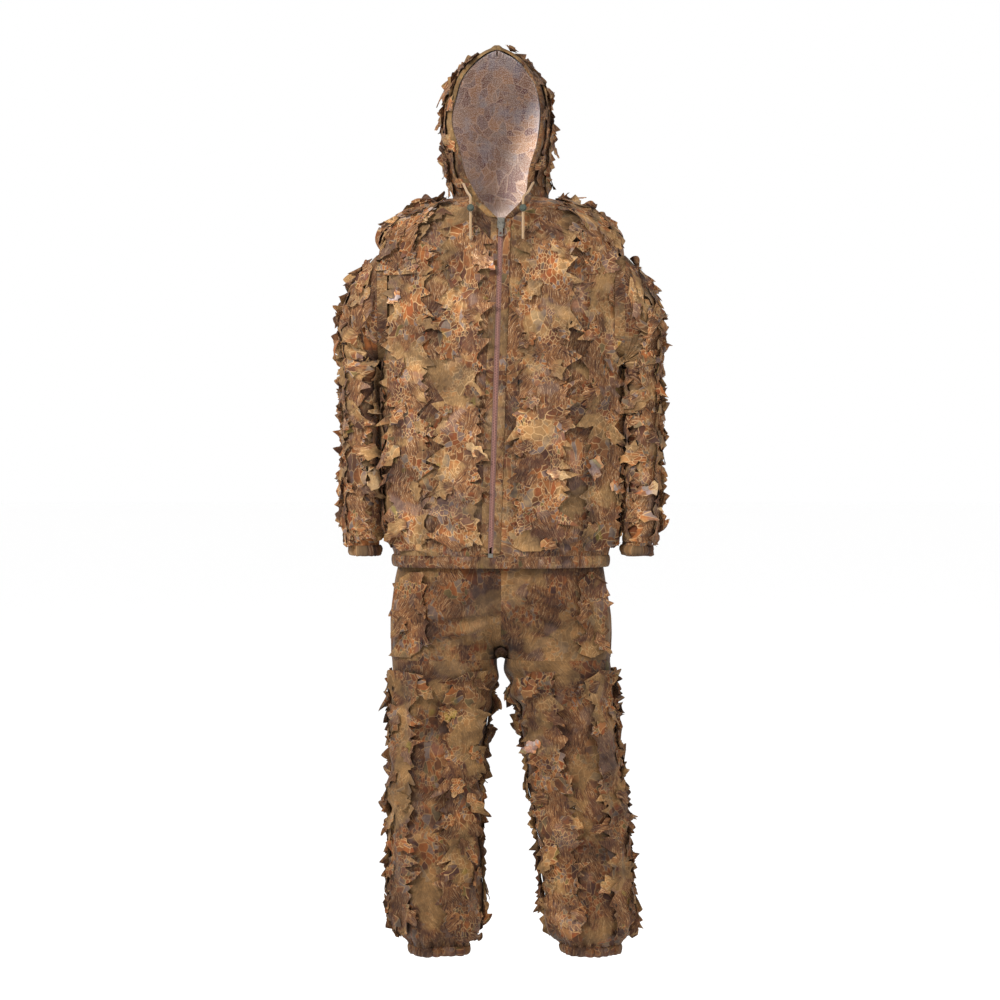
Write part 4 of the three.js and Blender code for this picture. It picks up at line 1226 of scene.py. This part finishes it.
HARD_PIECES = [(node, zip_metal) for node in ("zip_slider", "zip_pull_tab", "zip_bottom_box")]
HARD_PIECES += [
    (f"{name}_{part}", dark_plastic) for name in ("right", "left") for part in ("cord_lock", "lock_button")
]
for node, material in HARD_PIECES:
    hard = bpy.data.objects[node]
    hard.data.materials.clear()
    hard.data.materials.append(material)
    bevel = hard.modifiers.new("rounded_edges", "BEVEL")
    bevel.width = 0.0005
    bevel.segments = 2

# ---- Ribbons of leaves ----

ROW = 2.0  # the pitch of the rows along a ribbon
HIGHEST = 27.0  # how far a lying ribbon may rise from the cloth
SIDE_HIGHEST = 36.0  # and a standing one
LYING = (0.1, 0.8)  # how far the leaves of a flat ribbon bend up, in radians
STANDING = (0.85, 1.5)  # and those of a ribbon whose leaves stand out
CORE_COLUMNS = np.array([-1, -0.5, 0, 0.5, 1])
LOBE_COLUMNS = np.array([0.25, 0.5, 0.75, 1.0])


class Strip:
    """The line a ribbon is sewn along: its own flat length against places on the garment."""

    def __init__(self, surface, start, end, middle):
        dense = np.linspace(start, end, 500)
        self.surface, self.middle, self.dense = surface, middle, dense
        line = surface.point(dense, middle(dense))
        self.walked = walk(line)
        self.length = float(self.walked[-1])

    def point(self, t, across, lift):
        at = np.interp(t, self.walked, self.dense)
        return self.surface.point(at, self.middle(at) + across, lift)


def lobes(rng, t, length, half, bend):
    """One cut edge: pointed lobes with smaller teeth beside them, in groups like the edge of a large leaf.
    Gives the reach, bend and slant at each t."""
    reach, bent, slanted = np.zeros_like(t), np.zeros_like(t), np.zeros_like(t)
    place = rng.uniform(2, 14)
    group, start = rng.uniform(60, 110), rng.uniform(0, 110)
    while place < length - 2:
        swell = 0.45 + 0.55 * abs(math.sin(math.pi * (place + start) / group)) ** 1.3
        tall = min(half, 44) * rng.uniform(0.5, 0.95) * swell + 5
        wide = rng.uniform(10, 19)
        angle, slant = rng.uniform(*bend), rng.uniform(-0.7, 0.9)
        teeth = [(0, tall, wide)]
        for side in (-1, 1):
            shift = side * wide * rng.uniform(0.5, 0.95)
            teeth.append((shift, tall * rng.uniform(0.3, 0.75), wide * rng.uniform(0.3, 0.5)))
        for shift, high, broad in teeth:
            x = np.abs(t - place - shift) / broad
            this = high * np.clip(1 - x, 0, 1) ** rng.uniform(0.6, 1.0)
            wins = this > reach
            reach = np.where(wins, this, reach)
            bent = np.where(wins, angle, bent)
            slanted = np.where(wins, slant, slanted)
        place += wide * rng.uniform(1.1, 2.2)
    return reach, bent, slanted


def ribbon_mesh(name, strip, half, seed, bend, material, root=2.2, core_share=0.55):
    rng = np.random.default_rng(seed)
    t = np.linspace(0, strip.length, int(strip.length / ROW) + 1)
    wander = waves(seed, 3, (60, 160), (1000, 2000), 1.0)(t, 0 * t)
    core = half * core_share * (1 + 0.14 * wander)
    base = 1.8 + 0.5 * waves(seed + 1, 3, (50, 130), (1000, 2000), 1.0)(t, 0 * t)
    ends = np.clip(np.minimum(t, strip.length - t) / 14, 0.1, 1) ** 0.6
    blocks, flats = [], []
    for side in (-1, 1):
        reach, angle, slant = lobes(rng, t, strip.length, half, bend)
        curl = waves(seed + 3 + side, 3, (22, 48), (1000, 2000), 0.6 * root)(t, 0 * t)
        rise = base + root + curl
        out, high = core * ends, rise.copy()
        steps = []
        before = 0.0
        for v in LOBE_COLUMNS:
            theta = angle * (0.35 + 0.65 * v)
            out = out + reach * ends * (v - before) * np.cos(theta)
            high = high + reach * ends * (v - before) * np.sin(theta)
            shift = slant * reach * v
            steps.append((t + shift, side * out, high, side * (core * ends + reach * ends * v), t + shift))
            before = v
        blocks.append(steps)
        flats.append(rise)
    columns = [blocks[0][i] for i in (3, 2, 1, 0)]
    for u in CORE_COLUMNS:
        rise = flats[0] if u < 0 else flats[1]
        lift = base + (rise - base) * u * u
        columns.append((t, u * core * ends, lift, u * core * ends, t))
    columns += blocks[1]
    at = np.stack([np.clip(c[0], 0, strip.length) for c in columns], axis=1)
    across = np.stack([c[1] for c in columns], axis=1)
    lift = np.stack([np.clip(c[2], 1.2, HIGHEST if root > 1 else SIDE_HIGHEST) for c in columns], axis=1)
    flat = np.stack(
        [np.stack([c[3] for c in columns], axis=1), np.stack([c[4] for c in columns], axis=1)], axis=-1
    )
    points = strip.point(at, across, lift)
    made = grid_mesh(name, points, material, flat + [seed * 137.0, seed * 211.0])
    return made, *cloth_size(points)


def cloth_size(points):
    """The widest row, the middle column's length and the area of a grid of millimetre points, in metres."""
    wide = np.linalg.norm(np.diff(points, axis=1), axis=2).sum(axis=1).max()
    long = np.linalg.norm(np.diff(points[:, points.shape[1] // 2], axis=0), axis=1).sum()
    first = np.cross(points[1:, :-1] - points[:-1, :-1], points[:-1, 1:] - points[:-1, :-1])
    second = np.cross(points[1:, :-1] - points[1:, 1:], points[:-1, 1:] - points[1:, 1:])
    area = (np.linalg.norm(first, axis=2) + np.linalg.norm(second, axis=2)).sum() / 2
    return float(wide * MM), float(long * MM), float(area * MM * MM)


def loose_leaves(name, strip, half, seed, gap, tilt, material):
    """Single leaves sewn along the middle of a ribbon, that lean out from it."""
    rng = np.random.default_rng(seed + 500)
    rows, columns = 12, 5
    v = np.linspace(0, 1, rows)[:, None]
    u = np.linspace(-1, 1, columns)[None, :]
    points, uv, faces, colours = [], [], [], []
    place, side = rng.uniform(0, gap), rng.choice([-1, 1])
    while place < strip.length - 14:
        long, wide = rng.uniform(40, 66), rng.uniform(13, 21)
        way = side * rng.uniform(0.3, 1.35)
        lean = rng.uniform(*tilt)
        notch = 0.74 + 0.26 * np.cos(2 * math.pi * (rng.uniform(2.4, 3.6) * v + rng.uniform()))
        across = wide * np.sin(math.pi * np.clip(v, 0.02, 0.985) ** 0.8) ** 0.8 * notch * u
        theta = lean * (0.4 + 0.6 * v)
        forward = np.cumsum(np.cos(theta), axis=0) / rows * long
        high = np.cumsum(np.sin(theta), axis=0) / rows * long
        t = place + forward * math.cos(way) - across * math.sin(way)
        w = side * half * rng.uniform(0, 0.35) + forward * math.sin(way) + across * math.cos(way)
        lift = 5 + high + rng.uniform(-5, 7) * (u * v) ** 2 + rng.uniform(-2, 2) * u * v
        start = sum(len(p) for p in points)
        points.append(strip.point(np.clip(t, 0, strip.length), w, np.clip(lift, 2, HIGHEST)).reshape(-1, 3))
        spot = rng.uniform(-3000, 3000, 2)
        uv.append(np.stack([across + spot[0], v * long + 0 * u + spot[1]], axis=-1).reshape(-1, 2))
        made = grid_faces(rows, columns, start=start)
        faces += made
        colours += [int(rng.random() < 0.06)] * len(made)
        place += gap * rng.uniform(0.6, 1.4)
        side = -side
    return make(
        name, np.concatenate(points), faces, material, np.concatenate(uv), more=[pale_leaf],
        indices=colours,
    )


def leaf_ribbon(
    name, node, surface, start, end, middle, half, seed, body=None, bend=None, angle=LYING, gap=62.0,
    tilt=(0.1, 0.45), material=None, held="hung", on="jacket", root=2.2, core_share=0.55,
):
    material = material or leaf_cloth
    strip = Strip(surface, start, end, middle)
    made, width, length, area = ribbon_mesh(
        f"{name}_ribbon", strip, half, seed, angle, material, root, core_share
    )
    leaves = loose_leaves(f"{name}_loose_leaves", strip, half, seed, gap, tilt, material)
    for piece in (made, leaves):
        attach(piece, body, bend)
    if node:
        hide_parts(node)
    min(area, width * length)
    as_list(on)
    return made


# How a ribbon is sewn: flat on the cloth, or folded along a side so that its leaves stand out.
HOLD = {False: {"root": 2.2, "core_share": 0.55}, True: {"root": 0.5, "core_share": 0.25}}


def spread(z):
    """How far the chest ribbons keep to their places as the shoulders narrow to the neck."""
    return np.clip(torso.half_round(z) / torso.half_round(-200), 0, 1)


CHEST = [
    ("right_chest_outer", lambda z: -184 * spread(z), 46),
    ("right_chest_inner", lambda z: zip_x(z) - 68 * spread(z), 42),
    ("left_chest_inner", lambda z: zip_x(z) + 92 * spread(z), 56),
    ("left_chest_outer", lambda z: 206 * spread(z), 44),
    ("right_back", lambda z: torso.half_round(z) + 130 * spread(z), 36),
    ("middle_back", lambda z: torso.half_round(z), 36),
    ("left_back", lambda z: torso.half_round(z) - 130 * spread(z), 36),
]
for seed, (name, middle, half) in enumerate(CHEST):
    start = -48 if "inner" in name else -16
    leaf_ribbon(
        name, f"{name}_leaves", torso, start, -680, middle, half, 600 + seed, "jacket", on=["back_cloth"],
    )
EXTRA = [
    ("right_side", lambda z: -276 * spread(z), 30, -310, -676),
    ("left_side", lambda z: 284 * spread(z), 30, -310, -676),
    ("right_shoulder", lambda z: -torso.half_round(z) * 0.47, 46, -3, -120),
    ("left_shoulder", lambda z: torso.half_round(z) * 0.47, 46, -3, -120),
    ("right_shoulder_front", lambda z: -torso.half_round(z) * 0.34, 34, -12, -150),
    ("left_shoulder_front", lambda z: torso.half_round(z) * 0.34, 34, -12, -150),
    ("right_back_outer", lambda z: torso.half_round(z) + 235 * spread(z), 32, -60, -676),
    ("left_back_outer", lambda z: torso.half_round(z) - 235 * spread(z), 32, -60, -676),
]
for seed, (name, middle, half, start, end) in enumerate(EXTRA):
    leaf_ribbon(
        name, None, torso, start, end, middle, half, 120 + seed, "jacket", on=["back_cloth"],
        angle=(0.3, 1.3) if "shoulder" in name else LYING, gap=30 if "shoulder" in name else 62,
    )

for k, (name, side) in enumerate(SIDES):
    sleeve = sleeves[name]
    bend = elbow_bend(name, side)
    for part, start, end in (("upper_sleeve", 0.15, 6.35), ("forearm", 6.0, 9.8)):
        places = [
            ("", lambda a, f=0.5 * side: sleeve.half_round(a) * f, 36, STANDING),
            ("front_", lambda a, f=0.12 * side: sleeve.half_round(a) * f, 26, (0.2, 1.0)),
            ("back_", lambda a, f=0.86 * side: sleeve.half_round(a) * f, 26, LYING),
            ("outer_front_", lambda a, f=0.33 * side: sleeve.half_round(a) * f, 24, (0.3, 1.0)),
            ("inner_", lambda a, f=-0.25 * side: sleeve.half_round(a) * f, 20, (0.2, 0.9)),
        ]
        for j, (place, middle, half, angle) in enumerate(places):
            standing = angle[1] > 1.2
            node = f"{name}_{part}_leaves" if place == "" else None
            begin = max(start, 4.6) if place == "inner_" else start
            leaf_ribbon(
                f"{name}_{place}{part}", node, sleeve, begin, end, middle, half,
                140 + 20 * k + j + (8 if part == "forearm" else 0),
                bend=bend, angle=angle, gap=46, on=[f"{name}_upper_sleeve_cloth"], **HOLD[standing],
            )
    hood_middle = lambda z, s=side: s * (edge_distance(z) + 62)
    leaf_ribbon(
        f"{name}_hood", f"{name}_hood_leaves", hood, 262, 6, hood_middle, 24, 200 + k, bend=HOOD_BEND,
        angle=(0.3, 1.2), gap=40, on=[f"{name}_hood_cloth"],
    )
    leaf_ribbon(
        f"{name}_hood_edge", None, hood, 276, 20, lambda z, s=side: s * (edge_distance(z) + 34), 26, 205 + k,
        bend=HOOD_BEND, angle=(0.5, 1.3), gap=40, root=0.5, core_share=0.4, on=[f"{name}_hood_cloth"],
    )
    leg = legs[name]
    leg_places = [
        ("leg_inner", lambda z, s=side: s * -50 + 0 * z, 38, True, False),
        ("leg_outer", lambda z, s=side: s * 80 + 0 * z, 36, True, False),
        ("leg_back", lambda z: leg.half_round(z), 34, True, False),
        ("leg_side", lambda z, s=side: s * leg.half_round(z) * 0.5, 34, False, True),
        ("leg_inside", lambda z, s=side: -s * leg.half_round(z) * 0.5, 28, False, True),
        ("leg_back_outer", lambda z, s=side: s * leg.half_round(z) * 0.76, 26, False, False),
    ]
    for j, (place, middle, half, in_model, standing) in enumerate(leg_places):
        leaf_ribbon(
            f"{name}_{place}", f"{name}_{place}_leaves" if in_model else None, leg,
            -935 if place == "leg_inside" else -912, -1432, middle, half, 220 + 10 * k + j,
            bend=hip_bend(name, side), material=trouser_leaf, angle=STANDING if standing else LYING, gap=52,
            on=[f"{name}_leg_front_cloth"], **HOLD[standing],
        )
    for j, (place, middle) in enumerate(
        (
            ("hip_front", lambda z, s=side: s * 182 + 0 * z),
            ("hip_back", lambda z, s=side: s * (hips.half_round(z) - 140)),
        )
    ):
        leaf_ribbon(
            f"{name}_{place}", None, hips, -722, -886, middle, 34, 260 + 10 * k + j, "trousers",
            material=trouser_leaf, gap=50, on=[f"{name}_trouser_cloth"],
        )
leaf_ribbon(
    "hood_back", "hood_back_leaves", hood, 246, 6, lambda z: hood.half_round(z), 26, 300, bend=HOOD_BEND,
    gap=44, on=["left_hood_cloth"]
)

# ---- Studio ----

FLOOR = -2.0  # metres; below the suit, which hangs free


def studio():
    """A wide pale floor."""
    points = [(x, y, FLOOR * 1000) for y in (-40000, 60000) for x in (-60000, 60000)]
    g = Graph("studio_paper")
    fibre = g.noise(g.node("ShaderNodeTexCoord").outputs["Object"], 40, 3).outputs["Fac"]
    g.set(Base_Color=g.mix(fibre, (0.985, 0.985, 0.985, 1), (1.0, 1.0, 1.0, 1)), Roughness=0.9)
    made = make("studio_floor", points, [(0, 1, 3, 2)], g.material)


studio()
world = bpy.data.worlds.new("studio_light")
world.use_nodes = True
world.node_tree.nodes["Background"].inputs["Color"].default_value = (1, 1, 1, 1)
world.node_tree.nodes["Background"].inputs["Strength"].default_value = 1.0
bpy.context.scene.world = world


def area_light(name, place, target, size, power):
    light = bpy.data.lights.new(name, "AREA")
    light.size, light.energy = size, power
    made = bpy.data.objects.new(name, light)
    made.location = place
    made.rotation_euler = (Vector(target) - Vector(place)).to_track_quat("-Z", "Y").to_euler()
    bpy.context.scene.collection.objects.link(made)


area_light("key_light", (-2.4, -3.6, 2.2), (0, 0, -0.5), 1.2, 400)
area_light("fill_light", (3.2, -3.0, 0.6), (0, 0, -0.7), 2.4, 70)
